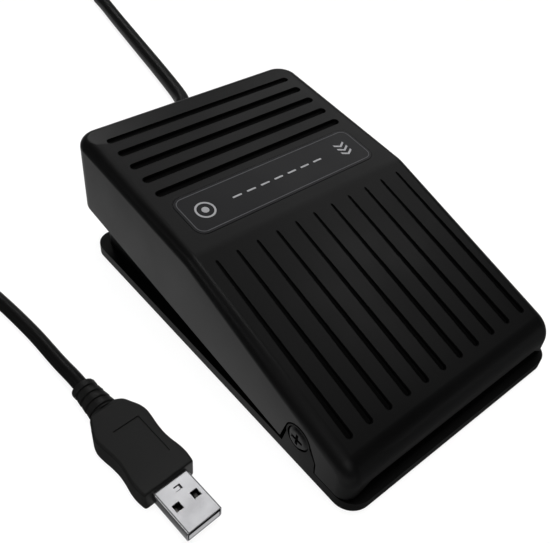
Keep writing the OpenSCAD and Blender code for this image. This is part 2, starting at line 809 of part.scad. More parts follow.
module stop_bumpers() {
  color(black_rubber)
    for (s = [-1, 1])
      translate([s * stop_x, stop_y, z_rim + stop_boss_h])
        rotate_extrude()
          polygon([[0, 0], [stop_d / 2, 0], [stop_d / 2, stop_t - 1], [stop_d / 2 - 1, stop_t],
            [0, stop_t]]);
}

module circuit_board() {
  color(board_green)
    difference() {
      translate([0, board_y, board_z])
        linear_extrude(board_t)
          rounded_rect(board_w, board_l, 2);
      for (x = [-1, 1], y = [-1, 1])
        translate([x * board_hole_x, board_y + y * board_hole_y, board_z - 1])
          cylinder(d = board_screw_d + 4 * easy_play, h = board_t + 2);
      for (k = [-1 : 1])
        translate([-0.8, switch_mid_y + k * terminal_pitch - 0.9, board_z - 1])
          cube([1.6, 1.8, board_t + 2]);
    }
}

module board_screws() {
  color(plated_steel)
    for (x = [-1, 1], y = [-1, 1])
      translate([x * board_hole_x, board_y + y * board_hole_y, board_top])
        rotate([0, 90, 0])
          pan_screw(board_screw_d, board_t + board_stand - 0.5, board_head_d, board_head_h);
}

// Controller in a small-outline case with its legs
module controller_chip() {
  chip_w = 7.5;
  chip_l = 12.8;
  color([0.08, 0.08, 0.09])
    translate([-15, board_y + 4, board_top]) {
      translate([-chip_w / 2, -chip_l / 2, 0.1])
        difference() {
          cube([chip_w, chip_l, 2.3]);
          translate([1.4, chip_l - 1.4, 1.9])
            cylinder(d = 1.2, h = 1);
        }
      for (s = [-1, 1], k = [0 : 9])
        translate([s * (chip_w / 2 + 0.6) - 0.8, (k - 4.5) * 1.27 - 0.2, 0])
          cube([1.6, 0.4, 0.4]);
    }
}

module crystal_can() {
  color(plated_steel)
    translate([-13, board_y - 12, board_top]) {
      linear_extrude(0.5)
        slot_outline(11, 4.6);
      linear_extrude(3.5)
        slot_outline(10.2, 3.8);
    }
}

module capacitor() {
  color([0.12, 0.13, 0.2])
    translate([14, board_y - 8, board_top])
      difference() {
        cylinder(d = 6.3, h = 7);
        translate([0, 0, 5.6])
          difference() {
            cylinder(d = 7, h = 0.6);
            translate([0, 0, -1])
              cylinder(d = 5.6, h = 3);
          }
      }
}

// Board header: a box open at the top with four pins
module cable_header() {
  color(nylon_white)
    translate([header_x, header_y, board_top]) {
      difference() {
        translate([-header_w / 2, -header_l / 2, 0])
          cube([header_w, header_l, header_h]);
        translate([-header_w / 2 + 0.8, -header_l / 2 + 0.8, 1.4])
          cube([header_w - 1.6, header_l - 1.6, header_h]);
      }
      for (k = [0 : 3])
        translate([(k - 1.5) * header_pitch - 0.32, -0.32, 1])
          cube([0.64, 0.64, 4.4]);
    }
}

module header_plug() {
  color(nylon_white)
    translate([header_x, header_y, board_top + 1.5])
      difference() {
        union() {
          translate([-header_w / 2 + 0.95, -header_l / 2 + 0.95, 0])
            cube([header_w - 1.9, header_l - 1.9, header_plug_h]);
          translate([-header_w / 2 + 0.4, -header_l / 2 + 0.4, header_h - 1.2])
            cube([header_w - 0.8, header_l - 0.8, header_plug_h - header_h + 1.2]);
        }
        for (k = [0 : 3])
          translate([(k - 1.5) * header_pitch - 0.5, -0.5, -1])
            cube([1, 1, 6]);
      }
}

// Four wires from the end of the cord's jacket, up and over into the header's plug
wire_top = board_top + 1.5 + header_plug_h;
wire_square = cord_d / 4 - 0.3;
function wire_route(k) =
  let (x = header_x + (k - 1.5) * header_pitch, s = k < 2 ? -1 : 1, v = k == 1 || k == 2 ? 1 : -1)
    [[cord_x + s * wire_square, jacket_end_y - 0.15, cord_z + v * wire_square],
     [cord_x + s * wire_square, jacket_end_y - 2, cord_z + v * wire_square],
     [cord_x + s * 1.6 - 1, jacket_end_y - 12, cord_z + 6 + v * wire_square],
     [(cord_x + 3 * x) / 4, header_y + 9, wire_top + 3],
     [x, header_y + 3, wire_top + 5.5],
     [x, header_y, wire_top + 3],
     [x, header_y, wire_top]];

module wire_leads() {
  wire_colours = ["firebrick", "whitesmoke", "green", "dimgray"];
  for (k = [0 : 3])
    color(wire_colours[k])
      tube(smooth(wire_route(k), 3), wire_d, 6, [1, 0, 0]);
}

module switch_body() {
  color([0.1, 0.1, 0.11])
    difference() {
      translate([-switch_w / 2, switch_rear_y - switch_l, board_top])
        cube([switch_w, switch_l, switch_h]);
      translate([-lever_w / 2 - stop_play, hinge_y - hinge_r - stop_play, hinge_z - hinge_r - stop_play])
        cube([lever_w + 2 * stop_play, switch_l, 3]);
      translate([0, plunger_y, plunger_top - plunger_l - plunger_stroke - 0.3])
        cylinder(d = plunger_d + 2 * running_play, h = 10);
      for (s = [-1, 1])
        translate([-switch_w, switch_mid_y + s * 4.75, board_top + 3])
          rotate([0, 90, 0])
            cylinder(d = 2.4, h = 2 * switch_w);
    }
}

module switch_terminals() {
  color(brass)
    for (k = [-1 : 1])
      translate([-0.25, switch_mid_y + k * terminal_pitch - 0.6, board_top - 3.4])
        cube([0.5, 1.2, 3.4]);
}

// Spring-steel lever with a barrel at its hinge, drawn raised as it stands at rest
module switch_lever() {
  color(plated_steel)
    translate([0, hinge_y, hinge_z])
      rotate([-lever_deg, 0, 0]) {
        rotate([0, 90, 0])
          cylinder(r = hinge_r, h = lever_w, center = true);
        translate([-lever_w / 2, -lever_arm - 3, lever_over])
          cube([lever_w, lever_arm + 3, lever_t]);
      }
}

module switch_plunger() {
  color([0.75, 0.12, 0.1])
    translate([0, plunger_y, plunger_top - plunger_l])
      cylinder(d = plunger_d, h = plunger_l);
}

// Helical spring between the tray's cup and the treadle's seat
function spring_point(t) =
  [spring_mid_r * cos(360 * t), spring_y + spring_mid_r * sin(360 * t),
   z_rim + 0.2 + spring_wire / 2 + (spring_l - 0.4 - spring_wire) * t / spring_turns];
spring_line = [for (i = [0 : 8 * spring_turns]) spring_point(i / 8)];
function least_gap(p, skip, d) =
  min([for (i = [0 : len(p) - 1 - skip], j = [i + skip : len(p) - 1]) norm(p[i] - p[j])]) - d;
echo(spring_gap = least_gap(spring_line, 5, spring_wire));

module return_spring() {
  color(plated_steel)
    tube(spring_line, spring_wire, 6);
}

// Bar that holds the cord's jacket down on the saddle
module cable_clamp() {
  color(black_tray)
    difference() {
      translate([cord_x, clamp_y, cord_z + clamp_gap / 2])
        linear_extrude(clamp_t)
          rounded_rect(clamp_w, clamp_l, 1.5);
      translate([cord_x, clamp_y - clamp_l, cord_z])
        rotate([-90, 0, 0])
          cylinder(d = cord_bore, h = 2 * clamp_l);
      for (s = [-1, 1])
        translate([cord_x + s * clamp_screw_x, clamp_y, cord_z - 1])
          cylinder(d = clamp_screw_d + 2 * easy_play, h = clamp_t + 3);
    }
}

module clamp_screws() {
  color(plated_steel)
    for (s = [-1, 1])
      translate([cord_x + s * clamp_screw_x, clamp_y, cord_z + clamp_gap / 2 + clamp_t])
        rotate([0, 90, 0])
          pan_screw(clamp_screw_d, clamp_t + cord_z - z_rim - 1, clamp_head_d, clamp_head_h);
}

// Strain relief: a waisted collar in the wall and a ribbed tail
module cord_grommet() {
  neck = wall_t + 2 * skin;
  tail = gland_l - gland_flange_t;
  color(black_rubber)
    translate([cord_x, wall_rear_y - wall_t - skin, cord_z])
      rotate([-90, 0, 0])
        difference() {
          rotate_extrude()
            polygon(concat(
              [[cord_bore / 2, -gland_flange_t], [gland_flange_d / 2, -gland_flange_t],
               [gland_flange_d / 2, 0], [gland_d / 2, 0], [gland_d / 2, neck],
               [gland_flange_d / 2, neck], [gland_flange_d / 2, neck + gland_flange_t]],
              [for (k = [0 : 4], e = [0 : 3])
                [relief_tip_d / 2 + (gland_d - relief_tip_d) / 2 * (1 - k / 5)
                 - (e == 1 || e == 2 ? 0.5 : 0),
                 neck + gland_flange_t + tail * (k + [0, 0.04, 0.46, 0.5][e]) / 5.5]],
              [[relief_tip_d / 2, neck + gland_flange_t + tail * 5 / 5.5],
               [relief_tip_d / 2, neck + gland_flange_t + tail],
               [cord_bore / 2, neck + gland_flange_t + tail]]));
          translate([0, 0, -5])
            cylinder(d = cord_bore, h = gland_l + 12);
        }
}

// The cord: a lead to the coil, the coil, and a tail to the plug. Points chosen by hand
coil_at = [-80, 200];
coil_pitch = cord_d + coil_gap;
coil_in_r = coil_mid_r - coil_pitch * coil_turns / 4;
coil_out_r = coil_mid_r + coil_pitch * coil_turns / 4;
tie_play = 0.3;
coil_low = tie_t + tie_play + cord_d / 2;
coil_high = coil_low + coil_pitch;
floor_z = cord_d / 2;
sleeve_z = sleeve_d / 2;
coil_edge_x = coil_at[0] - coil_out_r;
lead_route = [
  [cord_x, jacket_end_y, cord_z], [cord_x, (jacket_end_y + gland_end_y) / 2, cord_z],
  [cord_x, gland_end_y, cord_z], [cord_x, gland_end_y + 6, cord_z],
  [25.8, 106, 8.6], [30.6, 119, 5], [35.6, 129, sleeve_z + 0.3], [39.7, 138, sleeve_z],
  [45.6, 165, sleeve_z], [51.1, 193, sleeve_z], [57.2, 224, sleeve_z], [63.6, 257, sleeve_z],
  [64, 279, floor_z + 0.2], [55, 298, floor_z], [36, 310, floor_z], [12, 314, floor_z],
  [-16, 311, floor_z], [-44, 303, floor_z], [-72, 290, floor_z], [-96, 270, floor_z],
  [-112, 246, floor_z + 0.3], [coil_edge_x, coil_at[1] + 20, coil_low],
  [coil_edge_x, coil_at[1] + 12, coil_low], [coil_edge_x, coil_at[1] + cord_d, coil_low]];
plug_at = [-85, -4.1];
plug_turn = 3.4;
plug_z = grip_h / 2;
plug_axis = [-sin(plug_turn), cos(plug_turn), 0];
boot_end = [plug_at[0], plug_at[1], plug_z] + boot_l * plug_axis;
tail_route = [
  [coil_edge_x, coil_at[1] - cord_d, coil_high], [coil_edge_x, coil_at[1] - 12, coil_high],
  [coil_edge_x, coil_at[1] - 22, coil_high - 1], [-117, 164, 5], [-113, 146, floor_z + 0.4],
  [-107, 126, floor_z], [-100, 104, floor_z], [-94, 82, floor_z], [-90, 61, floor_z],
  [-87.4, 40, floor_z], boot_end + 14 * plug_axis - [0, 0, 0.8], boot_end + 5 * plug_axis, boot_end];
lead_line = smooth(lead_route, 2);
tail_line = smooth(tail_route, 2);
function coil_point(t) =
  let (r = coil_in_r + coil_pitch * abs(t - coil_turns / 2), a = 180 + 360 * t,
    c = min(1, max(0, 2 * (t - coil_turns / 2) + 0.5)))
    [coil_at[0] + r * cos(a), coil_at[1] + r * sin(a),
     coil_low + coil_pitch * c * c * (3 - 2 * c)];
coil_line = concat(
  [[coil_edge_x, coil_at[1] + cord_d, coil_low]],
  [for (i = [0 : 24 * coil_turns]) coil_point(i / 24)],
  [[coil_edge_x, coil_at[1] - cord_d, coil_high]]);
echo(coil_gap_measured = least_gap(coil_line, 12, cord_d));
echo(cord_length = run_length(lead_line) + run_length(coil_line) + run_length(tail_line)
  - (gland_end_y - jacket_end_y), lead = run_length(lead_line), coil = run_length(coil_line),
  tail = run_length(tail_line));

// The lead: bare cord through the strain relief, then in its sleeve, then bare again
sleeve_first = 6;
sleeve_last = 22;
function part_of(p, first, last) = [for (i = [first : last]) p[i]];
module cord_lead() {
  color(black_cord) {
    tube(part_of(lead_line, 0, sleeve_first + 1), cord_d, 10);
    tube(part_of(lead_line, sleeve_first, sleeve_last), sleeve_d, 10);
    tube(part_of(lead_line, sleeve_last - 1, len(lead_line) - 1), cord_d, 10);
  }
}

module cord_coil() {
  color(black_cord)
    tube(coil_line, cord_d, 6);
}

module cord_tail() {
  color(black_cord)
    tube(tail_line, cord_d, 10);
}

// Strap round the coil's turns, on the side away from the ends
module coil_tie() {
  low_r = coil_in_r + coil_pitch * 0.5 - cord_d / 2 - tie_play;
  high_r = coil_in_r + coil_pitch * (coil_turns / 2 - 0.5) + cord_d / 2 + tie_play;
  strap_w = high_r - low_r;
  strap_h = coil_high - coil_low + cord_d + 2 * tie_play;
  color(black_rubber)
    translate([coil_at[0] + (low_r + high_r) / 2, coil_at[1], (coil_low + coil_high) / 2])
      rotate([90, 0, 0])
        linear_extrude(tie_w, center = true)
          difference() {
            rounded_rect(strap_w + 2 * tie_t, strap_h + 2 * tie_t, 2 + tie_t);
            rounded_rect(strap_w, strap_h, 2);
          }
}

// The plug's frame: Y towards the cord from the grip's rear face
module plug_place() {
  translate([plug_at[0], plug_at[1], plug_z])
    rotate([0, 0, plug_turn])
      children();
}

module plug_boot() {
  color(black_cord)
    plug_place()
      rotate([-90, 0, 0])
        rotate_extrude()
          polygon(concat([[0, 0]],
            [for (k = [0 : 3], e = [0 : 3])
              [boot_d / 2 - 0.15 * k - (e == 1 || e == 2 ? 0.6 : 0),
               boot_l * (k + [0, 0.04, 0.4, 0.44][e]) / 4.2]],
            [[boot_d / 2 - 0.6, boot_l], [0, boot_l]]));
}

// Moulded grip: sections from the front face back to the neck, blended pair by pair
module plug_grip() {
  sections = [[grip_l, grip_w - 1.4, grip_h - 0.4], [grip_l * 0.83, grip_w, grip_h],
    [grip_l * 0.58, grip_w - 1.8, grip_h - 0.4], [grip_l * 0.27, grip_w - 0.6, grip_h],
    [grip_l * 0.05, grip_w - 6, grip_h - 0.6], [0.1, boot_d + 1, boot_d]];
  color(black_cord)
    plug_place()
      difference() {
        for (i = [0 : len(sections) - 2])
          hull()
            for (s = [sections[i], sections[i + 1]])
              translate([0, 0.05 - s[0], 0])
                rotate([90, 0, 0])
                  linear_extrude(0.1, center = true)
                    rounded_rect(s[1], s[2], 2.4, $fn = 32);
        translate([-usb_w / 2 - skin, -grip_l - 1, -usb_h / 2 - skin])
          cube([usb_w + 2 * skin, 9, usb_h + 2 * skin]);
      }
}

// Folded metal shell with two square windows on each face
module plug_shell() {
  shell_end = 8 - 1;
  color(plated_steel)
    plug_place()
      difference() {
        translate([0, -grip_l - usb_l, 0])
          rotate([-90, 0, 0])
            linear_extrude(usb_l + shell_end)
              difference() {
                rounded_rect(usb_w, usb_h, 0.7);
                rounded_rect(usb_w - 2 * usb_t, usb_h - 2 * usb_t, 0.7 - usb_t);
              }
        for (s = [-1, 1])
          translate([s * 3.1 - 1.15, -grip_l - usb_l + 6.7, -usb_h])
            cube([2.3, 2.3, 2 * usb_h]);
      }
}

module plug_tongue() {
  tongue_w = usb_w - 2 * usb_t - 2 * (0.3 + skin);
  color(black_tongue)
    plug_place()
      translate([-tongue_w / 2, -grip_l - usb_l + 1, -usb_h / 2 + usb_t + skin])
        cube([tongue_w, usb_l + 5.9, 1.9]);
}

module plug_contacts() {
  color(brass)
    plug_place()
      for (k = [0 : 3])
        translate([[-3.5, -1, 1, 3.5][k] - 0.5, -grip_l - usb_l + (k == 0 || k == 3 ? 1.2 : 2.2),
            -usb_h / 2 + usb_t + skin + 1.9])
          cube([1, k == 0 || k == 3 ? 8 : 7, 0.25]);
}

base_tray();
rubber_feet();
pivot_bushes();
stop_bumpers();
circuit_board();
board_screws();
controller_chip();
crystal_can();
capacitor();
cable_header();
header_plug();
wire_leads();
switch_body();
switch_terminals();
cable_clamp();
clamp_screws();
cord_grommet();
treadle();
label_plate();
pivot_screws();
return_spring();
switch_lever();
switch_plunger();
cord_lead();
cord_coil();
coil_tie();
cord_tail();
plug_boot();
plug_grip();
plug_shell();
plug_tongue();
plug_contacts();
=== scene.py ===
import json
import math

import bmesh
import bpy
import numpy as np
from mathutils import Matrix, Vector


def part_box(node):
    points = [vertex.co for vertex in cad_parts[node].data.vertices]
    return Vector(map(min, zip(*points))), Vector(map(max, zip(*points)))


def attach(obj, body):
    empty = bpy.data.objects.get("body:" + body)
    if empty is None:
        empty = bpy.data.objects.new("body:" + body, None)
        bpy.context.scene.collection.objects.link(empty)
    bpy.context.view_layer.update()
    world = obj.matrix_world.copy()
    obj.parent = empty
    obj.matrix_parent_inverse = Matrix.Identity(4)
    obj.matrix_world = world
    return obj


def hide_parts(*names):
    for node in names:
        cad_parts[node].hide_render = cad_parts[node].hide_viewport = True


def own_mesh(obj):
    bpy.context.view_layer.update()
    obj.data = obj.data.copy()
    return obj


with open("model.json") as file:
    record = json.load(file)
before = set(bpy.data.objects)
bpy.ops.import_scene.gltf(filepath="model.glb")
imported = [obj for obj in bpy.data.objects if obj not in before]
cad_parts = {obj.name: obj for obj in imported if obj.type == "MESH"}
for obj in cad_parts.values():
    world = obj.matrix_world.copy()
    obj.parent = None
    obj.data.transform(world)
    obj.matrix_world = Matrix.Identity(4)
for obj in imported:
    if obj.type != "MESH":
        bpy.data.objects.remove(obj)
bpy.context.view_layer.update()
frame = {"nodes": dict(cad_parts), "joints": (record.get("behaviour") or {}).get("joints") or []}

# Camera: it stands beyond the pedal's left toe corner and looks down on it.
# Its place, turn and lens were fitted to the pedal's straight edges in a picture 550 pixels wide.
MM = 0.001
picture_w_px = 550
focal_px = 711.66
sensor_mm = 36
azimuth, elevation, roll = np.radians((-44.04, 43.68, 5.88))
eye = np.array((-137.12, -125.71, 188.66)) * MM


def unit(v):
    """The vector, or each row of vectors, at length one."""
    return v / np.linalg.norm(v, axis=-1, keepdims=True)


scene = bpy.context.scene
scene.view_settings.view_transform = "Standard"
back = np.array((
    math.sin(azimuth) * math.cos(elevation),
    -math.cos(azimuth) * math.cos(elevation),
    math.sin(elevation),
))
level = unit(np.cross(-back, (0, 0, 1)))
upright = np.cross(level, -back)
camera_axes = np.stack((
    math.cos(roll) * level + math.sin(roll) * upright,
    math.cos(roll) * upright - math.sin(roll) * level,
    back,
), axis=1)
camera = bpy.data.objects.new("camera", bpy.data.cameras.new("camera"))
camera.data.sensor_fit = "HORIZONTAL"
camera.data.sensor_width = sensor_mm
camera.data.lens = focal_px / picture_w_px * sensor_mm
camera.data.clip_start = 10 * MM
camera.matrix_world = Matrix.Translation(eye) @ Matrix(camera_axes.tolist()).to_4x4()
scene.collection.objects.link(camera)
scene.camera = camera


# Floor and light: a white sweep under a lamp of its own, which keeps it white round a soft shadow, but
# grey in reflections, and darker still in reflections before the toe and left of the plug, as painted
# shadow of the pedal and the plug on the floor. A key lamp above the camera, a weak softbox behind the
# pedal, small lamps for single highlights, and a dim room that looks white.
floor_half = 2.0
floor_white = 0.92
floor_rough = 0.9
seen_share = 0.85
mirrored_share = 0.58
# Painted shadow in reflections: the floor's reflected share before the toe and beside the plug, and where
# these zones start and end.
mirrored_toe_shadow = 0.13
mirrored_plug_shadow = 0.15
toe_shadow_rear_y = np.array((-78, -40)) * MM
toe_shadow_left_x = np.array((-55, -75)) * MM
plug_shadow_x = np.array((-88, -90)) * MM
floor_sun = 3.4
floor_sun_spread = math.radians(70)
room_light = 0.06


def material_nodes(name):
    """A new material, its node tree and its shader."""
    material = bpy.data.materials.new(name)
    material.use_nodes = True
    return material, material.node_tree, material.node_tree.nodes["Principled BSDF"]


def spread(tree, value, span, low, high, smooth=False):
    """The value's way from the start to the end of a span, as low to high."""
    node = tree.nodes.new("ShaderNodeMapRange")
    node.interpolation_type = "SMOOTHSTEP" if smooth else "LINEAR"
    for socket, number in zip(("From Min", "From Max", "To Min", "To Max"), (*span, low, high)):
        node.inputs[socket].default_value = number
    tree.links.new(value, node.inputs["Value"])
    return node.outputs["Result"]


def reckoned(tree, operation, *terms):
    """The result of one operation on sockets and numbers."""
    node = tree.nodes.new("ShaderNodeMath")
    node.operation = operation
    for socket, term in zip(node.inputs, terms):
        if isinstance(term, bpy.types.NodeSocket):
            tree.links.new(term, socket)
        else:
            socket.default_value = term
    return node.outputs[0]


def mixed(tree, share, first, second):
    """Two shaders, with the share that the second one takes."""
    node = tree.nodes.new("ShaderNodeMixShader")
    for socket, source in zip(node.inputs, (share, first, second)):
        tree.links.new(source, socket)
    return node.outputs[0]


def softbox(name, place, aim, width, height, watts):
    """A rectangular area lamp at place that faces aim."""
    lamp = bpy.data.objects.new(name, bpy.data.lights.new(name, "AREA"))
    lamp.data.shape = "RECTANGLE"
    lamp.data.size = width
    lamp.data.size_y = height
    lamp.data.energy = watts
    out = unit(np.array(place) - np.array(aim))
    side = unit(np.cross((0, 0, 1), out))
    axes = np.stack((side, np.cross(out, side), out), axis=1)
    lamp.matrix_world = Matrix.Translation(place) @ Matrix(axes.tolist()).to_4x4()
    scene.collection.objects.link(lamp)


floor_mesh = bpy.data.meshes.new("floor")
corner = np.array(((-1, -1), (1, -1), (1, 1), (-1, 1))) * floor_half
floor_mesh.from_pydata(np.insert(corner, 2, 0, axis=1).tolist(), [], [(0, 1, 2, 3)])
floor = bpy.data.objects.new("floor", floor_mesh)
scene.collection.objects.link(floor)

white, tree, paint = material_nodes("white sweep")
paint.inputs["Base Color"].default_value = (floor_white, floor_white, floor_white, 1)
paint.inputs["Roughness"].default_value = floor_rough
rays = tree.nodes.new("ShaderNodeLightPath")
spot = tree.nodes.new("ShaderNodeSeparateXYZ")
tree.links.new(tree.nodes.new("ShaderNodeTexCoord").outputs["Object"], spot.inputs[0])
# The reflected glow is lowered before the toe and left of the plug: painted shadow of the pedal and plug,
# seen only in reflections.
behind_toe_shadow = spread(tree, spot.outputs["Y"], toe_shadow_rear_y, 0, 1, smooth=True)
left_of_toe_shadow = spread(tree, spot.outputs["X"], toe_shadow_left_x, 0, 1, smooth=True)
off_toe_shadow = reckoned(tree, "MAXIMUM", behind_toe_shadow, left_of_toe_shadow)
at_toe = spread(tree, off_toe_shadow, (0, 1), mirrored_toe_shadow, mirrored_share)
at_plug = spread(tree, spot.outputs["X"], plug_shadow_x, 1, mirrored_plug_shadow)
glow = tree.nodes.new("ShaderNodeEmission")
mirrored_glow = tree.nodes.new("ShaderNodeEmission")
tree.links.new(reckoned(tree, "MULTIPLY", at_toe, at_plug), mirrored_glow.inputs["Strength"])
seen = reckoned(tree, "MULTIPLY", rays.outputs["Is Camera Ray"], seen_share)
to_eye = mixed(tree, seen, paint.outputs[0], glow.outputs[0])
to_gloss = mixed(tree, rays.outputs["Is Glossy Ray"], to_eye, mirrored_glow.outputs[0])
tree.links.new(to_gloss, tree.nodes["Material Output"].inputs["Surface"])
floor_mesh.materials.append(white)

floor_lamp = bpy.data.objects.new("floor lamp", bpy.data.lights.new("floor lamp", "SUN"))
floor_lamp.data.energy = floor_sun
floor_lamp.data.angle = floor_sun_spread
lit_floor = bpy.data.collections.new("lit by the floor lamp")
lit_floor.objects.link(floor)
floor_lamp.light_linking.receiver_collection = lit_floor
scene.collection.objects.link(floor_lamp)

scene.world = bpy.data.worlds.new("dim room")
scene.world.use_nodes = True
room = scene.world.node_tree
room.nodes["Background"].inputs["Color"].default_value = (1, 1, 1, 1)
room_rays = room.nodes.new("ShaderNodeLightPath")
seen_room = reckoned(room, "MULTIPLY_ADD", room_rays.outputs["Is Camera Ray"], 1 - room_light, room_light)
room.links.new(seen_room, room.nodes["Background"].inputs["Strength"])
softbox("key lamp", (-0.95, -1.0, 1.35), (0, 0.05, 0), 1.2, 1.2, 4.4)
softbox("rear softbox", (0.9, 0.6, 1.0), (0, 0.03, 0.03), 0.9, 0.9, 2.2)
softbox("slope softbox", (0.74, -0.08, 1.02), (0, -0.03, 0.03), 0.1, 0.1, 0.5)
softbox("plug lamp", (0.218, 0.416, 1.017), (-0.083, -0.043, 0), 0.2, 0.2, 0.15)
softbox("cord lamp", (0.33, 1.05, 0.78), (-0.02, 0.08, 0), 0.2, 0.2, 0.9)
softbox("left lamp", (-1.0, 0.32, 0.66), (-0.04, 0, 0.03), 0.3, 0.3, 0.5)
softbox("top lamp", (-0.02, 0.12, 1.2), (-0.045, 0, 0.03), 0.12, 0.12, 1.1)
softbox("front strip", (0.78, -1.0, 0.14), (0, -0.02, 0.03), 0.5, 0.08, 0.14)


# Base tray: the black moulded tray that stands on the floor, with a rim, an upright wall inside the
# treadle's skirt, and an ear on each side for the pivot. ABS from a spark-eroded tool, edges just broken.
tray_edge = 0.35 * MM
edge_segments = 2
noise_span = (0.3, 0.7)
smooth_angle = math.radians(38)
flat_angle = math.radians(0.5)
merge_gap = 0.002 * MM


def shader_group(name, inputs, outputs):
    """An empty shader node group with float sockets, and its input and output nodes."""
    group = bpy.data.node_groups.new(name, "ShaderNodeTree")
    for label, value in inputs:
        socket = group.interface.new_socket(label, in_out="INPUT", socket_type="NodeSocketFloat")
        socket.default_value = value
    for label in outputs:
        group.interface.new_socket(label, in_out="OUTPUT", socket_type="NodeSocketFloat")
    return group, group.nodes.new("NodeGroupInput"), group.nodes.new("NodeGroupOutput")


def noise(tree, detail, rough, place):
    """A noise texture that reads the given coordinates."""
    node = tree.nodes.new("ShaderNodeTexNoise")
    node.inputs["Detail"].default_value = detail
    node.inputs["Roughness"].default_value = rough
    tree.links.new(place, node.inputs["Vector"])
    return node


# Tool grain: fine pits of the mould's surface, and slow clouds in gloss and shade.
tool_grain, grain_in, grain_out = shader_group(
    "tool grain", (("Pits per metre", 2200), ("Clouds per metre", 35)), ("Height", "Cloud")
)
grain_place = tool_grain.nodes.new("ShaderNodeTexCoord").outputs["Object"]
pits = noise(tool_grain, detail=2, rough=0.6, place=grain_place)
clouds = noise(tool_grain, detail=4, rough=0.55, place=grain_place)
tool_grain.links.new(grain_in.outputs["Pits per metre"], pits.inputs["Scale"])
tool_grain.links.new(grain_in.outputs["Clouds per metre"], clouds.inputs["Scale"])
tool_grain.links.new(pits.outputs["Fac"], grain_out.inputs["Height"])
tool_grain.links.new(clouds.outputs["Fac"], grain_out.inputs["Cloud"])


def grained(name, dark, light, gloss, pits_per_m, clouds_per_m, pit_depth, pit_share):
    """A material with the tool grain, and its shader. The clouds spread its colour from dark to light and
    its roughness over gloss, and a share of the pits' depth shows."""
    material, tree, bsdf = material_nodes(name)
    grain = tree.nodes.new("ShaderNodeGroup")
    grain.node_tree = tool_grain
    grain.inputs["Pits per metre"].default_value = pits_per_m
    grain.inputs["Clouds per metre"].default_value = clouds_per_m
    shade = tree.nodes.new("ShaderNodeMix")
    shade.data_type = "RGBA"
    shade.inputs["A"].default_value = (*dark, 1)
    shade.inputs["B"].default_value = (*light, 1)
    tree.links.new(spread(tree, grain.outputs["Cloud"], noise_span, 0, 1), shade.inputs["Factor"])
    tree.links.new(shade.outputs["Result"], bsdf.inputs["Base Color"])
    tree.links.new(spread(tree, grain.outputs["Cloud"], noise_span, *gloss), bsdf.inputs["Roughness"])
    bump = tree.nodes.new("ShaderNodeBump")
    bump.inputs["Strength"].default_value = pit_share
    bump.inputs["Distance"].default_value = pit_depth
    tree.links.new(grain.outputs["Height"], bump.inputs["Height"])
    tree.links.new(bump.outputs["Normal"], bsdf.inputs["Normal"])
    return material, bsdf


def moulded(
    name, colour, gloss, pits_per_m, pit_depth, clouds_per_m=35, colour_spread=0.18, specular=0.5
):
    """Moulded plastic or rubber. gloss is the least and the most roughness, and colour_spread the share by
    which the clouds change the colour."""
    dark, light = (np.array(colour) * s for s in (1 - colour_spread, 1 + colour_spread))
    material, bsdf = grained(name, dark, light, gloss, pits_per_m, clouds_per_m, pit_depth, 1)
    bsdf.inputs["Specular IOR Level"].default_value = specular
    return material


def dress(node, material):
    """Gives a node of the frame a better material."""
    slots = frame["nodes"][node].data.materials
    slots.clear()
    slots.append(material)


def flat_to_light(obj):
    """Keeps an object's flat faces flat to the light, beside its round edges."""
    flat = obj.modifiers.new("flat faces", "WEIGHTED_NORMAL")
    flat.keep_sharp = True


def broken_edges(name, node, width, material, body):
    """A copy of a node with its vertices merged, its flat faces joined and its sharp edges rounded."""
    mesh = frame["nodes"][node].data.copy()
    mesh.name = name
    bm = bmesh.new()
    bm.from_mesh(mesh)
    bmesh.ops.remove_doubles(bm, verts=bm.verts, dist=merge_gap)
    bmesh.ops.dissolve_limit(bm, angle_limit=flat_angle, verts=bm.verts, edges=bm.edges)
    bm.to_mesh(mesh)
    bm.free()
    mesh.materials.clear()
    mesh.materials.append(material)
    mesh.shade_smooth()
    mesh.set_sharp_from_angle(angle=smooth_angle)
    copy = bpy.data.objects.new(name, mesh)
    scene.collection.objects.link(copy)
    bevel = copy.modifiers.new("broken edges", "BEVEL")
    bevel.limit_method = "ANGLE"
    bevel.angle_limit = smooth_angle
    bevel.width = width
    bevel.segments = edge_segments
    bevel.use_clamp_overlap = True
    flat_to_light(copy)
    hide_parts(node)
    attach(copy, body)
    return copy


tray_abs = moulded("tray ABS", (0.002, 0.002, 0.002), (0.42, 0.58), 1800, 0.01 * MM, specular=0.14)
tray = broken_edges("tray", "base_tray", tray_edge, tray_abs, "base")


# Feet and stops: rubber discs pressed into the tray's underside, and two softer discs on its floor
# that end the treadle's travel. Matt moulded rubber with a little bloom.
rubber = moulded("matt rubber", (0.005, 0.005, 0.005), (0.6, 0.8), 1500, 0.015 * MM, colour_spread=0.35)
for node in ("rubber_feet", "stop_bumpers"):
    dress(node, rubber)


# Pivot bushes and the other nylon pieces: bushes in the ears, the board's cable header and its plug.
# Natural nylon, slightly waxy, moulded.
nylon = moulded("natural nylon", (0.74, 0.71, 0.62), (0.3, 0.45), 900, 0.004 * MM, colour_spread=0.05)
for node in ("pivot_bushes", "cable_header", "header_plug"):
    dress(node, nylon)


# Circuit board with what is soldered to it: green solder mask over glass laminate, black epoxy cases,
# a metal crystal can, a sleeved capacitor, and brass switch terminals. Four screws hold the board.
solder_mask = moulded("solder mask", (0.008, 0.075, 0.03), (0.2, 0.32), 700, 0.006 * MM, clouds_per_m=260)
epoxy = moulded("black epoxy", (0.01, 0.01, 0.011), (0.5, 0.65), 2500, 0.008 * MM)
shrink_film = moulded("shrink sleeve", (0.012, 0.016, 0.04), (0.22, 0.34), 500, 0.003 * MM)
red_acetal = moulded("red acetal", (0.45, 0.015, 0.012), (0.3, 0.42), 800, 0.003 * MM)
insulation = moulded("wire insulation", (0.28, 0.03, 0.025), (0.35, 0.5), 900, 0.004 * MM)
metal_dark = 0.9
metal_clouds_per_m = 120
scratch_share = 0.6


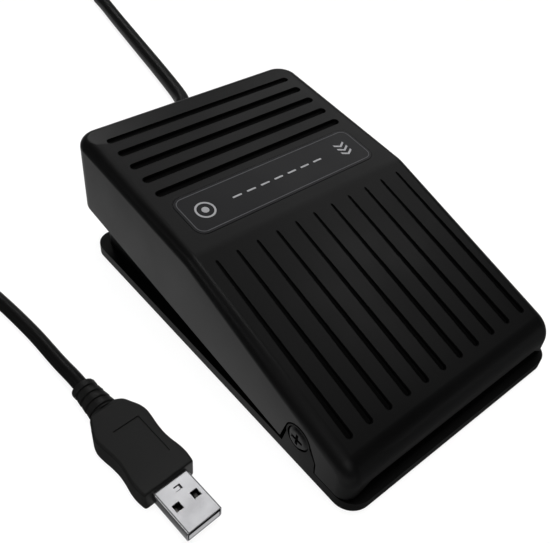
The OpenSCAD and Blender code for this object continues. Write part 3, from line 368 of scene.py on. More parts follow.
def plated(name, colour, gloss, scratch_per_m, scratch_depth):
    """Bare or plated metal: metallic, with fine drawn scratches and clouds in its polish."""
    dark = np.array(colour) * metal_dark
    material, bsdf = grained(
        name, dark, colour, gloss, scratch_per_m, metal_clouds_per_m, scratch_depth, scratch_share
    )
    bsdf.inputs["Metallic"].default_value = 1
    return material


nickel = plated("nickel plate", (0.72, 0.72, 0.74), (0.16, 0.26), 1600, 0.002 * MM)
drawn_steel = plated("drawn steel", (0.42, 0.42, 0.44), (0.28, 0.4), 2600, 0.004 * MM)
brass = plated("brass", (0.72, 0.5, 0.2), (0.2, 0.3), 1600, 0.002 * MM)
board_finish = {
    "circuit_board": solder_mask, "controller_chip": epoxy, "switch_body": epoxy,
    "capacitor": shrink_film, "crystal_can": nickel, "board_screws": nickel, "switch_terminals": brass,
    "wire_leads": insulation, "switch_plunger": red_acetal, "switch_lever": drawn_steel,
    "cable_clamp": tray_abs, "clamp_screws": nickel,
}
for node, material in board_finish.items():
    dress(node, material)


# Return spring: drawn steel wire wound to eight turns, between the tray's cup and the treadle's seat.
# The real spring shortens as the rear of the treadle goes down; this one stands on the tray at one length.
spring_low, spring_high = (np.array(v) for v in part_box("return_spring"))
spring_wire = 1.4 * MM
spring_turns = 8
spring_points_per_turn = 40
spring_sides = 14
hull_gap = 0.03 * MM
hull_flat_angle = math.radians(0.05)
least_edge = 0.001 * MM
hinge = next(j for j in frame["joints"] if j["name"] == "treadle_hinge")
pivot = np.array(hinge["pos_m"])
press = math.radians(hinge["range_deg"][1])


def grid_quads(rows, columns, wrap_rows):
    """Quads of closed rows of points, stored row after row; wrap_rows joins the last row to the first."""
    row = np.arange(rows if wrap_rows else rows - 1)[:, None]
    below = row * columns
    above = (row + 1) % rows * columns
    here = np.arange(columns)
    there = (here + 1) % columns
    return np.stack((below + here, below + there, above + there, above + here), -1).reshape(-1, 4)


def loft(loops, wrap=False):
    """A skin over closed loops of points (loops, points, 3); the ends are filled, or joined by wrap."""
    count, width = loops.shape[:2]
    faces = grid_quads(count, width, wrap).tolist()
    if not wrap:
        faces += [list(range(width))[::-1], list(range((count - 1) * width, count * width))]
    return loops.reshape(-1, 3), faces


def joined(shapes):
    """Several shapes, each its points and faces, as one."""
    starts = np.cumsum([0] + [len(points) for points, faces in shapes])
    faces = [[start + i for i in face] for start, (_, fs) in zip(starts, shapes) for face in fs]
    return np.concatenate([points for points, _ in shapes]), faces


def circle_turns(count):
    """Cosines and sines of evenly spaced turns, as columns for loops of points."""
    turn = np.linspace(0, 2 * math.pi, count, endpoint=False)
    return np.cos(turn)[:, None], np.sin(turn)[:, None]


def tube(path, radius, sides, up=(0, 0, 1)):
    """A circle carried along a path: at each point it lies square to the path's direction there."""
    ahead = unit(np.gradient(path, axis=0))
    side = unit(np.cross(ahead, up))[:, None]
    over = np.cross(side[:, 0], ahead)[:, None]
    across, aloft = circle_turns(sides)
    return loft(path[:, None] + radius * (across * side + aloft * over))


def plain_object(name, shape):
    """Computed points and faces as a mesh object at the origin, faces outwards, doubles merged. Points
    that come without faces lie on a convex form, and get its skin."""
    mesh = bpy.data.meshes.new(name)
    points, faces = shape
    mesh.from_pydata(points.tolist(), [], faces)
    bm = bmesh.new()
    bm.from_mesh(mesh)
    bmesh.ops.remove_doubles(bm, verts=bm.verts, dist=merge_gap)
    if not faces:
        bmesh.ops.remove_doubles(bm, verts=bm.verts, dist=hull_gap)
        bmesh.ops.convex_hull(bm, input=bm.verts)
        bmesh.ops.dissolve_limit(bm, angle_limit=hull_flat_angle, verts=bm.verts, edges=bm.edges)
    bmesh.ops.dissolve_degenerate(bm, edges=bm.edges, dist=least_edge)
    bmesh.ops.recalc_face_normals(bm, faces=bm.faces)
    bm.to_mesh(mesh)
    bm.free()
    obj = bpy.data.objects.new(name, mesh)
    scene.collection.objects.link(obj)
    return obj


def finished(obj, material, body):
    """Shades a computed piece smooth up to its sharp edges, and lets it ride on its body."""
    if material:
        obj.data.materials.append(material)
    obj.data.shade_smooth()
    obj.data.set_sharp_from_angle(angle=smooth_angle)
    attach(obj, body)
    return obj


turn = np.linspace(0, spring_turns, spring_turns * spring_points_per_turn + 1)
spring_mid = (spring_low + spring_high) / 2
spring_r = (spring_high[0] - spring_low[0] - spring_wire) / 2
spring_climb = spring_high[2] - spring_low[2] - spring_wire
spring_path = np.stack((
    spring_mid[0] + spring_r * np.cos(2 * math.pi * turn),
    spring_mid[1] + spring_r * np.sin(2 * math.pi * turn),
    spring_low[2] + spring_wire / 2 + spring_climb * turn / spring_turns,
), axis=1)
spring = plain_object("spring", tube(spring_path, spring_wire / 2, spring_sides))
finished(spring, drawn_steel, "base")
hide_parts("return_spring")
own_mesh(spring)


# Treadle: the hollow black shell that the foot presses, moulded in ABS in one shot with its grip grooves
# and label recess. It has round edges, a soft crease, notches for the ears and an arch over the cord.
treadle_low, treadle_high = (np.array(v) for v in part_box("treadle"))
tray_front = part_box("base_tray")[0][1]
tray_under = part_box("base_tray")[0][2]
half_w = treadle_high[0]
toe_y, rear_y = treadle_low[1], treadle_high[1]
hem_z = treadle_low[2]
crease_y = tray_front + 79.2 * MM
crease_z = tray_under + 40 * MM
lip_z = tray_under + 9 * MM
deck, slope, hem_rise, draft = np.radians((6.8, 17, 6.9, 0.3))
shell_t = 2.4 * MM
edge_r = 3.6 * MM
corner_r = 8 * MM
toe_r = 9 * MM
toe_corner_r = 5 * MM
crease_r = 16 * MM
brow_back = 6 * MM
skin_steps, hollow_steps = 40, 16
hollow_drop = 2 * MM
off_flat_deg = 0.4
off_side_deg = 0.7
shell_edge = 0.45 * MM
shell_edge_angle = math.radians(60)
shell_merge_gap = 0.01 * MM


def deck_z(y):
    """Height of the rear deck's plane at y."""
    return crease_z + math.tan(deck) * (y - crease_y)


def slope_z(y):
    """Height of the front slope's plane at y."""
    return crease_z + math.tan(slope) * (y - crease_y)


def hem_at(y):
    """Height of the treadle's lower edge at y: level in front of the pivot, rising behind it."""
    return hem_z + math.tan(hem_rise) * max(0, y - pivot[1])


def farthest(n, centre, axis, ring_r, section_r):
    """In each direction n, the farthest point of a ring of round section: the ring's centre, plus its
    radius along the part of n across the axis, plus the section's radius along n."""
    across = n - (n @ axis)[..., None] * axis
    size = np.maximum(np.linalg.norm(across, axis=-1, keepdims=True), 1e-9)
    return centre + ring_r * across / size + section_r * n


def treadle_form(inset, drop, steps):
    """The rounded block that six rings on each side span: in each direction, their farthest point. A
    direction turns by gamma round the width from the rear over the top, and by beta away from the side.
    The turns leave out the flat faces' own directions, so each flat face comes out whole."""
    x_axis, z_axis = np.eye(3)[0], np.eye(3)[2]
    lean = [math.tan(draft) * (z - hem_z) for z in (deck_z(rear_y), crease_z, slope_z(toe_y + 2 * toe_r))]
    ring = corner_r - edge_r
    rear_c = rear_y - corner_r - lean[0]
    brow_c = toe_y + toe_r + brow_back
    toe_c = toe_y + toe_r
    crease_mean, crease_half = (deck + slope) / 2, (slope - deck) / 2
    crease_drop = crease_r / math.cos(crease_half)
    rings = (
        ((half_w - corner_r - lean[0], rear_c,
          deck_z(rear_c) - ring * math.tan(deck) - edge_r / math.cos(deck)),
         z_axis, ring, edge_r - inset),
        ((half_w - edge_r - lean[1], crease_y + crease_drop * math.sin(crease_mean),
          crease_z - crease_drop * math.cos(crease_mean)), x_axis, crease_r - edge_r, edge_r - inset),
        ((half_w - corner_r - lean[2], brow_c,
          slope_z(brow_c) - ring * math.tan(slope) - edge_r / math.cos(slope)),
         z_axis, ring, edge_r - inset),
        ((half_w - toe_corner_r - lean[2], toe_c, slope_z(toe_c) - toe_r / math.cos(slope)),
         x_axis, toe_r - toe_corner_r, toe_corner_r - inset),
        ((half_w - corner_r, rear_y - corner_r, hem_z - drop), z_axis, corner_r - inset, 0),
        ((half_w - toe_corner_r, toe_y + toe_corner_r, hem_z - drop), z_axis, toe_corner_r - inset, 0),
    )
    flats = np.degrees((0, math.pi / 2 + deck, math.pi / 2 + slope, math.pi, 1.5 * math.pi, 2 * math.pi))
    counts = (steps, 6, steps, 4, 4)
    spans = [
        np.linspace(a + off_flat_deg, b - off_flat_deg, k) for a, b, k in zip(flats, flats[1:], counts)
    ]
    gamma = np.radians(np.concatenate(spans))[None]
    beta = np.radians(np.linspace(off_side_deg, 90, steps))[:, None]
    n = np.stack((
        np.cos(beta) + 0 * gamma, np.sin(beta) * np.cos(gamma), np.sin(beta) * np.sin(gamma)
    ), axis=-1)
    reach = np.stack([farthest(n, np.array(centre), axis, r, s) for centre, axis, r, s in rings])
    best = (reach * n).sum(-1).argmax(0)
    right = np.take_along_axis(reach, best[None, ..., None], axis=0)[0]
    both = np.concatenate((right.reshape(-1, 3), right.reshape(-1, 3) * (-1, 1, 1)))
    return both, []


def prism(outline, low, high, along):
    """A flat outline carried straight from low to high along axis 0, 1 or 2."""
    return loft(np.stack([np.insert(outline, along, end, axis=1) for end in (low, high)]))


def cut_away(obj, shape, skin=None):
    """Takes a computed closed shape out of an object. With a skin, the cut's faces get that material."""
    cutter = plain_object("cutter", shape)
    if skin:
        cutter.data.materials.append(skin)
    cut = obj.modifiers.new("cut", "BOOLEAN")
    cut.operation = "DIFFERENCE"
    cut.solver = "EXACT"
    cut.material_mode = "TRANSFER"
    cut.object = cutter
    depsgraph = bpy.context.evaluated_depsgraph_get()
    mesh = bpy.data.meshes.new_from_object(obj.evaluated_get(depsgraph))
    obj.modifiers.clear()
    obj.data = mesh
    bpy.data.objects.remove(cutter)


def round_edges(obj, width, least_angle):
    """Rounds the edges where two faces meet at more than an angle."""
    bm = bmesh.new()
    bm.from_mesh(obj.data)
    bmesh.ops.remove_doubles(bm, verts=bm.verts, dist=shell_merge_gap)
    edges = [e for e in bm.edges if e.is_manifold and e.calc_face_angle() > least_angle]
    bmesh.ops.bevel(
        bm, geom=edges, offset=width, offset_type="OFFSET", segments=3, profile=0.5, affect="EDGES",
        clamp_overlap=True,
    )
    bm.to_mesh(obj.data)
    bm.free()


def arc(centre, radius, start, end, count):
    """Points of a circle's arc from start to end degrees, in a plane."""
    turn = np.radians(np.linspace(start, end, count))
    return np.array(centre) + radius * np.stack((np.cos(turn), np.sin(turn)), axis=1)


ear_r = 5.5 * MM
ear_in, ear_out = 3.2 * MM, 3 * MM
ear_foot = tray_under + 2 * MM - pivot[2]
ear_front = [(-8.2 * MM, -3.3 * MM), (-8.7 * MM, ear_foot)]
ear_outline = np.concatenate(([(6.9 * MM, ear_foot)], arc((0, 0), ear_r, 14, 150, 30), ear_front))


def ear_cut(side, turned):
    """The room that an ear takes in the treadle's skirt, with the treadle turned about the pivot."""
    c, s = math.cos(turned), math.sin(turned)
    outline = ear_outline @ np.array(((c, s), (-s, c))) + pivot[1:]
    return prism(outline, side * (half_w - ear_in), side * (half_w + ear_out), 0)


beyond = 2 * MM
below = 9 * MM
toe_arch_foot, toe_arch_top = 2 * MM, 9 * MM
shell_abs = moulded(
    "shell ABS", (0.0035, 0.0035, 0.0037), (0.34, 0.44), 2400, 0.006 * MM, clouds_per_m=28, specular=0.25
)
shell = plain_object("treadle_shell", treadle_form(0, 0, skin_steps))
shell.data.materials.append(shell_abs)
cut_away(shell, treadle_form(shell_t, hollow_drop, hollow_steps))
cut_away(shell, prism(np.array((
    (toe_y - beyond, hem_z - below), (toe_y - beyond, hem_z), (pivot[1], hem_z),
    (rear_y + beyond, hem_at(rear_y + beyond)), (rear_y + beyond, hem_z - below),
)), -half_w - beyond, half_w + beyond, 0))
cut_away(shell, prism(np.array((
    (toe_arch_foot - half_w, hem_z - below), (toe_arch_foot - half_w, hem_z),
    (toe_arch_top - half_w, lip_z), (half_w - toe_arch_top, lip_z),
    (half_w - toe_arch_foot, hem_z), (half_w - toe_arch_foot, hem_z - below),
)), toe_y - beyond, toe_y + shell_t + MM, 1))
for turned in (0, press):
    cut_away(shell, joined([ear_cut(side, turned) for side in (-1, 1)]))
grommet_low, grommet_high = (np.array(v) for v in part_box("cord_grommet"))
cord_x, cord_z = ((grommet_low + grommet_high) / 2)[[0, 2]]
arch_r = 5.2 * MM
arch_in = 3 * MM
arch_sinks = (rear_y - shell_t / 2 - pivot[1]) * math.sin(press)
arch_z = pivot[2] + (cord_z - pivot[2] + arch_sinks) / math.cos(press)
arch_outline = np.concatenate((
    [(cord_x + arch_r, hem_z)], arc((cord_x, arch_z), arch_r, 0, 180, 25), [(cord_x - arch_r, hem_z)],
))
cut_away(shell, prism(arch_outline, rear_y - shell_t - arch_in, rear_y + beyond, 1))
round_edges(shell, shell_edge, shell_edge_angle)

# Grip grooves: round-ended slots across the deck and down the slope, with a round bottom and soft lips.
# Their faces are matt, and coloured darker than the shell as painted shade in the slots. The slope's
# grooves get shallower and narrower towards the crease.
groove_depth = 1.4 * MM
groove_bottom_r = 0.6 * MM
groove_lip_r = 0.4 * MM
groove_mouth = (0.28 * MM, 1 * MM)
groove_end_points = 14
deck_groove_l, deck_groove_w = 81.3 * MM, 2.6 * MM
deck_groove_rear, deck_groove_step = 11.8 * MM, 7.56 * MM
slope_groove_l, slope_groove_w = 63.1 * MM, 2.1 * MM
slope_groove_top, slope_groove_step = 4.2 * MM, 8.08 * MM
crease_groove_depth = 0.5 * MM
crease_groove_share = 0.42
bottom_turn = np.radians(np.linspace(0, 90, 6))
lip_turn = np.radians(np.linspace(0, 70, 6))
groove_profile = np.concatenate((
    np.stack((groove_bottom_r * (np.sin(bottom_turn) - 1),
              groove_bottom_r * (1 - np.cos(bottom_turn)) - groove_depth), axis=1),
    np.stack((groove_lip_r * (1 - np.cos(lip_turn)), groove_lip_r * (np.sin(lip_turn) - 1)), axis=1),
    [groove_mouth],
))


def groove(place, tilt, along_slope, length, width, far_depth=groove_depth, far_share=1):
    """A slot's outline, two half circles apart, grown by the profile's offset at each of its heights.
    Over the run its depth goes evenly to far_depth, and its width to a share of itself."""
    half_turns = np.linspace(-90, 90, groove_end_points), np.linspace(90, 270, groove_end_points)
    turn = np.radians(np.concatenate(half_turns))
    end = np.repeat((1, -1), groove_end_points) * (length - width) / 2
    radius = (width / 2 + groove_profile[:, 0])[:, None]
    run = end + radius * np.cos(turn)
    on_way = run / length + 0.5
    cross = radius * np.sin(turn) * (1 + (far_share - 1) * on_way)
    deep = 1 + (far_depth / groove_depth - 1) * on_way
    level = groove_profile[:, 1][:, None] + 0 * turn
    rise = np.where(level < 0, level * deep, level)
    x, y = (cross, run) if along_slope else (run, cross)
    c, s = math.cos(tilt), math.sin(tilt)
    return loft(np.array(place) + np.stack((x, c * y - s * rise, s * y + c * rise), axis=-1))


deck_groove_y = rear_y - deck_groove_rear - deck_groove_step * np.arange(5)
slope_groove_x = slope_groove_step * (np.arange(11) - 5)
slope_groove_y = crease_y - slope_groove_top - slope_groove_l / 2
deck_grooves = [
    groove((0, y, deck_z(y)), deck, False, deck_groove_l, deck_groove_w) for y in deck_groove_y
]
slope_grooves = [
    groove((x, slope_groove_y, slope_z(slope_groove_y)), slope, True, slope_groove_l / math.cos(slope),
           slope_groove_w, crease_groove_depth, crease_groove_share)
    for x in slope_groove_x
]
# The grooves' colour is far darker than the shell's: painted shade in the slots.
groove_painted_shade = (0.0006, 0.0006, 0.0006)
deck_groove_shade = moulded("groove ABS", groove_painted_shade, (0.55, 0.65), 2400, 0.002 * MM, specular=0.1)
cut_away(shell, joined(deck_grooves), deck_groove_shade)
slope_groove_shade = moulded("slope groove ABS", groove_painted_shade, (0.6, 0.7), 2400, 0.002 * MM, specular=0.12)
cut_away(shell, joined(slope_grooves), slope_groove_shade)

# Label recess: a shallow seat on the deck, a little larger than the label, moulded with the shell.
label_w, label_l, label_r = 78.6 * MM, 18 * MM, 4 * MM
label_play = 0.15 * MM
label_recess = 0.3 * MM
recess_open = 1 * MM
label_from_crease = 5.5 * MM
label_y = crease_y + label_from_crease + label_l / 2 * math.cos(deck)
deck_axes = np.array((
    (1, 0, 0), (0, math.cos(deck), math.sin(deck)), (0, -math.sin(deck), math.cos(deck))
))


def rounded_loop(half_x, half_y, radius, steps=10):
    """A rectangle with corner arcs, as points in a plane, anticlockwise."""
    corners = np.array(((1, 1), (-1, 1), (-1, -1), (1, -1))) * (half_x - radius, half_y - radius)
    return np.concatenate([
        arc(middle, radius, 90 * k, 90 * k + 90, steps) for k, middle in enumerate(corners)
    ])


def on_deck(flat, height):
    """Points of the label's plane, at a height above the deck, in the pedal's frame."""
    return np.array((0, label_y, deck_z(label_y))) + np.insert(flat, 2, height, axis=-1) @ deck_axes


def label_loop(grow):
    """The label's outline, grown outwards."""
    return rounded_loop(label_w / 2 + grow, label_l / 2 + grow, label_r + grow)


recess_loop = label_loop(label_play)
cut_away(shell, loft(np.stack((on_deck(recess_loop, -label_recess), on_deck(recess_loop, recess_open)))))
finished(shell, None, "treadle")
flat_to_light(shell)
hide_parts("treadle")


# Inside of the treadle: the lugs that take the pivot screws, the switch's post, the spring's seat with
# its spigot, and the two posts that meet the rubber stops. They are moulded with the shell.
wall_in_top = shell_t - 0.3 * MM
far_up = 60 * MM


def lathe(profile, origin, axis, steps=48):
    """A profile of (radius, distance along the axis) turned about the axis through origin."""
    axis = np.array(axis, float)
    aslant = (0.3, 0.5, 0.8)
    side = unit(np.cross(axis, aslant))
    across, over = circle_turns(steps)
    ring = across * side + over * np.cross(axis, side)
    radius, reach = np.array(profile)[:, :1, None], np.array(profile)[:, 1:, None]
    return loft(np.array(origin) + radius * ring + reach * axis)


def up_to_top(shape):
    """The shape with its points far up brought down into the sloping top wall."""
    points, faces = shape
    x, y, z = points.T
    top = np.minimum(deck_z(y), slope_z(y)) - wall_in_top
    return np.stack((x, y, np.where(z > far_up, top, z)), axis=1), faces


lug_x = 42.1 * MM
lug_l = 8 * MM
lug_r, lug_bore_r = 4.5 * MM, 1.53 * MM
post_y = pivot[1] + 33.4 * MM
post_r = 3 * MM
post_tip_r = 0.001 * MM
post_dip = 0.2 * MM
post_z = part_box("switch_lever")[1][2] - post_dip
seat_r = 9 * MM
seat_z = spring_high[2] + 0.2 * MM
spigot_profile = np.array(((3.8, -4), (4.3, -3.5), (4.3, 0))) * MM
stop_low, stop_high = (np.array(v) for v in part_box("stop_bumpers"))
stop_r = 4.5 * MM
stop_x = stop_high[0] - stop_r
stop_y = (stop_low[1] + stop_high[1]) / 2
stop_room = 0.3 * MM
stop_post_r = 3.5 * MM
stop_rest_z = pivot[2] + (
    stop_high[2] + stop_room - pivot[2] + (stop_y - pivot[1]) * math.sin(press)
) / math.cos(press) + stop_post_r * math.sin(press)
post_round = np.radians(np.linspace(0, 90, 10))
post_profile = np.concatenate((
    np.stack((post_r * np.sin(post_round) + post_tip_r, post_r * (1 - np.cos(post_round))), axis=1),
    [(post_r, far_up)],
))
seat_profile = np.concatenate((spigot_profile, [(seat_r, 0), (seat_r, far_up)]))
stop_profile = ((stop_post_r, 0), (stop_post_r, far_up))
lug_profile = ((lug_bore_r, 0), (lug_r, 0), (lug_r, lug_l), (lug_bore_r, lug_l))
inside = [
    up_to_top(lathe(post_profile, (0, post_y, post_z), (0, 0, 1))),
    up_to_top(lathe(seat_profile, (0, spring_mid[1], seat_z), (0, 0, 1))),
]
for side in (-1, 1):
    inside += [
        lathe(lug_profile, (side * (lug_x - lug_l), pivot[1], pivot[2]), (side, 0, 0)),
        up_to_top(lathe(stop_profile, (side * stop_x, stop_y, stop_rest_z), (0, 0, 1))),
    ]
finished(plain_object("treadle_inside", joined(inside)), shell_abs, "treadle")


# Label: a dark satin film stuck in the deck's recess, with a thin pale border and plain marks printed on
# it: a ringed dot, a row of short bars, and three arrowheads that point to the toe.
label_top = 0.1 * MM
ink_t = 0.015 * MM
border_in = 0.9 * MM
border_w = 0.3 * MM
film_edge = 0.06 * MM
dot_r = 1.3 * MM
ring_out_r, ring_in_r = 3.6 * MM, 2.9 * MM
bar_half_l, bar_half_w, bar_r = 1.9 * MM, 0.35 * MM, 0.3 * MM
arrow_reach, arrow_rise, arrow_t = 2.4 * MM, 0.6, 0.9 * MM
dot_x, arrows_x = -31 * MM, 31 * MM
bars_x = np.arange(-18, 20, 6) * MM
arrows_y = np.array((-3.4, -1.2, 1)) * MM
silver = plated("silver ink", (0.62, 0.62, 0.64), (0.42, 0.52), 2500, 0.002 * MM)
grey_silver = plated("grey silver ink", (0.16, 0.16, 0.17), (0.42, 0.52), 2500, 0.002 * MM)
label_film = moulded(
    "label film", (0.006, 0.006, 0.0085), (0.3, 0.4), 1500, 0.003 * MM,
    clouds_per_m=40, colour_spread=0.08, specular=0.28,
)
label = plain_object("label", loft(np.stack((
    on_deck(label_loop(0), -label_recess),
    on_deck(label_loop(0), label_top - film_edge),
    on_deck(label_loop(-film_edge), label_top),
))))
finished(label, label_film, "treadle")
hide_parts("label_plate")


def printed(outline):
    """Ink of a closed flat outline on the label."""
    return loft(np.stack((on_deck(outline, label_top), on_deck(outline, label_top + ink_t))))


def printed_band(outer, inner):
    """Ink between two loops of as many points."""
    return loft(np.stack((on_deck(outer, label_top), on_deck(outer, label_top + ink_t),
                          on_deck(inner, label_top + ink_t), on_deck(inner, label_top))), wrap=True)


def arrowhead(x, y):
    """A flat chevron that points to the toe."""
    wing_y = y + arrow_rise * arrow_reach
    line = np.array(((x - arrow_reach, wing_y), (x, y), (x + arrow_reach, wing_y)))
    return np.concatenate((line, line[::-1] + (0, arrow_t)))


border = printed_band(label_loop(-border_in), label_loop(-border_in - border_w))
finished(plain_object("label_border", border), grey_silver, "treadle")
bar = rounded_loop(bar_half_l, bar_half_w, bar_r, 4)
marks = [
    printed(arc((dot_x, 0), dot_r, 0, 350, 36)),
    printed_band(arc((dot_x, 0), ring_out_r, 0, 355, 72), arc((dot_x, 0), ring_in_r, 0, 355, 72)),
]
marks += [printed(bar + (x, 0)) for x in bars_x]
marks += [printed(arrowhead(arrows_x, y)) for y in arrows_y]
finished(plain_object("label_marks", joined(marks)), silver, "treadle")


# Pivot screws: two shoulder screws with black-finished cross heads sunk in the ears, screwed into the
# treadle's lugs through the nylon bushes.
screw_edge = 0.2 * MM
black_steel = moulded(
    "black finished steel", (0.004, 0.004, 0.0045), (0.32, 0.46), 1800, 0.006 * MM, specular=0.3
)
screws = broken_edges("pivot_screw_pair", "pivot_screws", screw_edge, black_steel, "treadle")


# Strain relief: a ribbed tail that snaps into the tray's rear wall round the cord.
# Moulded from the feet's matt rubber, with its edges just broken.
rubber_edge = 0.15 * MM
relief = broken_edges("strain_relief", "cord_grommet", rubber_edge, rubber, "base")


# Plug: a moulded grip with waisted sides and a ribbed boot, over a folded nickel-plated shell with two
# square windows and a lip at its end. Inside it are a tongue and four contacts, both painted dark as the
# shade inside the shell.
plug_turn = math.radians(3.4)
plug_at = np.array((-85, -4.1, 4.1)) * MM
grip_l, grip_h = 32.2 * MM, 8.2 * MM
boot_l, boot_d = 12.8 * MM, 7.2 * MM
usb_w, usb_h, usb_l = 12 * MM, 4.5 * MM, 15.5 * MM
pocket_depth = 8 * MM
pocket_r = 0.7 * MM
slip = 0.02 * MM
front_r = 0.6 * MM
plug_axes = np.array((
    (math.cos(plug_turn), math.sin(plug_turn), 0),
    (-math.sin(plug_turn), math.cos(plug_turn), 0),
    (0, 0, 1),
))


def on_plug(local):
    """Points of the plug's own frame, Y towards the cord from the grip's rear, in the pedal's frame."""
    return plug_at + np.asarray(local) @ plug_axes


def through(knots, values, at):
    """A smooth line through values at rising knots: cubic pieces with slopes from the neighbours."""
    slopes = np.gradient(values, knots)
    k = np.clip(np.searchsorted(knots, at) - 1, 0, len(knots) - 2)
    span = knots[k + 1] - knots[k]
    t = (at - knots[k]) / span
    return (
        values[k] * (1 + 2 * t) * (1 - t) ** 2 + slopes[k] * span * t * (1 - t) ** 2
        + values[k + 1] * t * t * (3 - 2 * t) + slopes[k + 1] * span * t * t * (t - 1)
    )


grip_knots = np.array((0, 0.03, 0.12, 0.22, 0.28, 0.36, 0.48, 0.6, 0.7, 0.8, 0.88, 1)) * grip_l
grip_half_w = np.array((4.4, 5.5, 7.2, 8.6, 8.95, 8.8, 8.3, 8.1, 8.4, 8.9, 9.0, 8.6)) * MM
grip_half_h = np.array((3.5, 3.9, 4.1, 4.1, 4.1, 4.1, 4.1, 4.1, 4.1, 4.1, 4.1, 4.0)) * MM
grip_edge_r = 0.9 * MM
back_from_rear = np.linspace(0, grip_l, 60)
grip_sides = zip(
    back_from_rear,
    through(grip_knots, grip_half_w, back_from_rear),
    through(grip_knots, grip_half_h, back_from_rear),
)
grip_loops = [
    np.insert(rounded_loop(a, b, grip_edge_r), 1, -s, axis=1)
    for s, a, b in grip_sides if s < grip_l - front_r
]
for a in np.radians(np.linspace(15, 90, 6)):
    drawn_in = front_r * (1 - math.cos(a))
    front = rounded_loop(grip_half_w[-1] - drawn_in, grip_half_h[-1] - drawn_in, grip_edge_r)
    grip_loops.append(np.insert(front, 1, -grip_l + front_r * (1 - math.sin(a)), axis=1))
pocket = rounded_loop(usb_w / 2 + slip, usb_h / 2 + slip, pocket_r)
grip_loops += [np.insert(pocket, 1, depth - grip_l, axis=1) for depth in (0, pocket_depth)]
grip_pvc = moulded("grip PVC", (0.0085, 0.0085, 0.008), (0.42, 0.54), 2200, 0.01 * MM, specular=0.42)
grip = plain_object("plug_handle", loft(on_plug(np.stack(grip_loops))))
grip.data.materials.append(grip_pvc)

# Corner line: a plain bent line engraved in the grip's upper face, in two straight cuts.
line_w, line_depth = 0.65 * MM, 0.35 * MM
corner_line = np.array(((-3.4, -10), (5.2, -10), (5.2, -25.2))) * MM


def bar_on_plug(a, b, width, low, high):
    """A straight bar between two points of the plug's plane, from one height to another."""
    along = unit(np.subtract(b, a))
    side = np.array((-along[1], along[0])) * width / 2
    outline = np.array((a + side, a - side, b - side, b + side))
    return loft(np.stack([on_plug(np.insert(outline, 2, z, axis=1)) for z in (low, high)]))


for a, b in zip(corner_line, corner_line[1:]):
    cut_away(grip, bar_on_plug(a, b, line_w, grip_h / 2 - line_depth, grip_h))
finished(grip, None, "base")
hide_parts("plug_grip")

# Boot: an oval tail moulded onto the cord in the grip's PVC, so that the cord bends gently at the plug.
# Its ribs get smaller towards the cord, and it ends in a round collar.
rib_count = 4
rib_step = boot_l / 4.2
rib_proud = 0.3 * MM
rib_taper = 0.2 * MM
rib_depth = 0.5 * MM
rib_edge = 0.02 * MM
gap_from, gap_to, rib_from = 0.08, 0.3, 0.38
core_r = 0.5 * MM
boot_oval = 1.22
boot_profile = [(core_r, 0)]
for k in range(rib_count):
    rib_r = boot_d / 2 + rib_proud - rib_taper * k
    boot_profile += [
        (rib_r, rib_step * k), (rib_r, rib_step * k + rib_edge),
        (rib_r - rib_depth, rib_step * (k + gap_from)), (rib_r - rib_depth, rib_step * (k + gap_to)),
        (rib_r, rib_step * (k + rib_from)),
    ]
collar_r = boot_d / 2 - 0.25 * MM
collar_round = np.array(((0, 0.9), (0.2, 0.3), (0.7, 0))) * MM
boot_profile += [(collar_r - inwards, boot_l - back) for inwards, back in collar_round]
boot_profile += [(core_r, boot_l)]
boot_points, boot_faces = lathe(boot_profile, (0, 0, 0), (0, 1, 0))
boot = plain_object("plug_sleeve", (on_plug(np.array(boot_points) * (boot_oval, 1, 1)), boot_faces))
finished(boot, grip_pvc, "base")
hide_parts("plug_boot")

# Metal shell: folded nickel-plated sheet, pressed into the grip, round the tongue and its contacts.
# It has a stamped catch, which is a bright tab over a dark bar that stands as the painted shadow of its
# slit, and a lip across its end.
plug_edge = 0.12 * MM
catch_y = -grip_l - 3.1 * MM
catch_foot = 2 * MM
catch_shadow_x, catch_shadow_w, catch_shadow_rise = np.array((-0.6, 1.6)) * MM, 1.7 * MM, 0.012 * MM
tab_x, tab_w, tab_rise = np.array((-1.2, 0.9)) * MM, 1.1 * MM, 0.024 * MM
tab_y = catch_y - 0.15 * MM
lip_x, lip_w, lip_low, lip_high = np.array((-5.3, 5.3)) * MM, 0.5 * MM, -1.9 * MM, 0.35 * MM
lip_y = -grip_l - usb_l + 0.35 * MM


def across_plug(name, ends, y, width, low, high, material):
    """A straight bar across the plug's metal shell."""
    bar = bar_on_plug((ends[0], y), (ends[1], y), width, low, high)
    return finished(plain_object(name, bar), material, "base")


plug_metal = broken_edges("plug_metal", "plug_shell", plug_edge, nickel, "base")
plug_top = usb_h / 2
# The dark bar under the catch's tab is painted shadow of the slit round it.
painted_catch_shadow = moulded("painted catch shadow", (0.02, 0.02, 0.021), (0.4, 0.5), 1200, 0.002 * MM)
catch_shadow_bar = across_plug(
    "plug_catch_painted_shadow", catch_shadow_x, catch_y, catch_shadow_w, catch_foot, plug_top + catch_shadow_rise, painted_catch_shadow
)
catch = across_plug("plug_catch", tab_x, tab_y, tab_w, catch_foot, plug_top + tab_rise, nickel)
lip = across_plug("plug_lip", lip_x, lip_y, lip_w, lip_low, lip_high, nickel)
# The tongue and the contacts are coloured dark: painted shade inside the shell, seen through the windows.
tongue_painted_shade = moulded("tongue in painted shade", (0.006, 0.006, 0.006), (0.25, 0.35), 900, 0.003 * MM)
dress("plug_tongue", tongue_painted_shade)
contacts_in_painted_shade = plated("contacts in painted shade", (0.22, 0.21, 0.2), (0.3, 0.4), 1600, 0.002 * MM)
dress("plug_contacts", contacts_in_painted_shade)


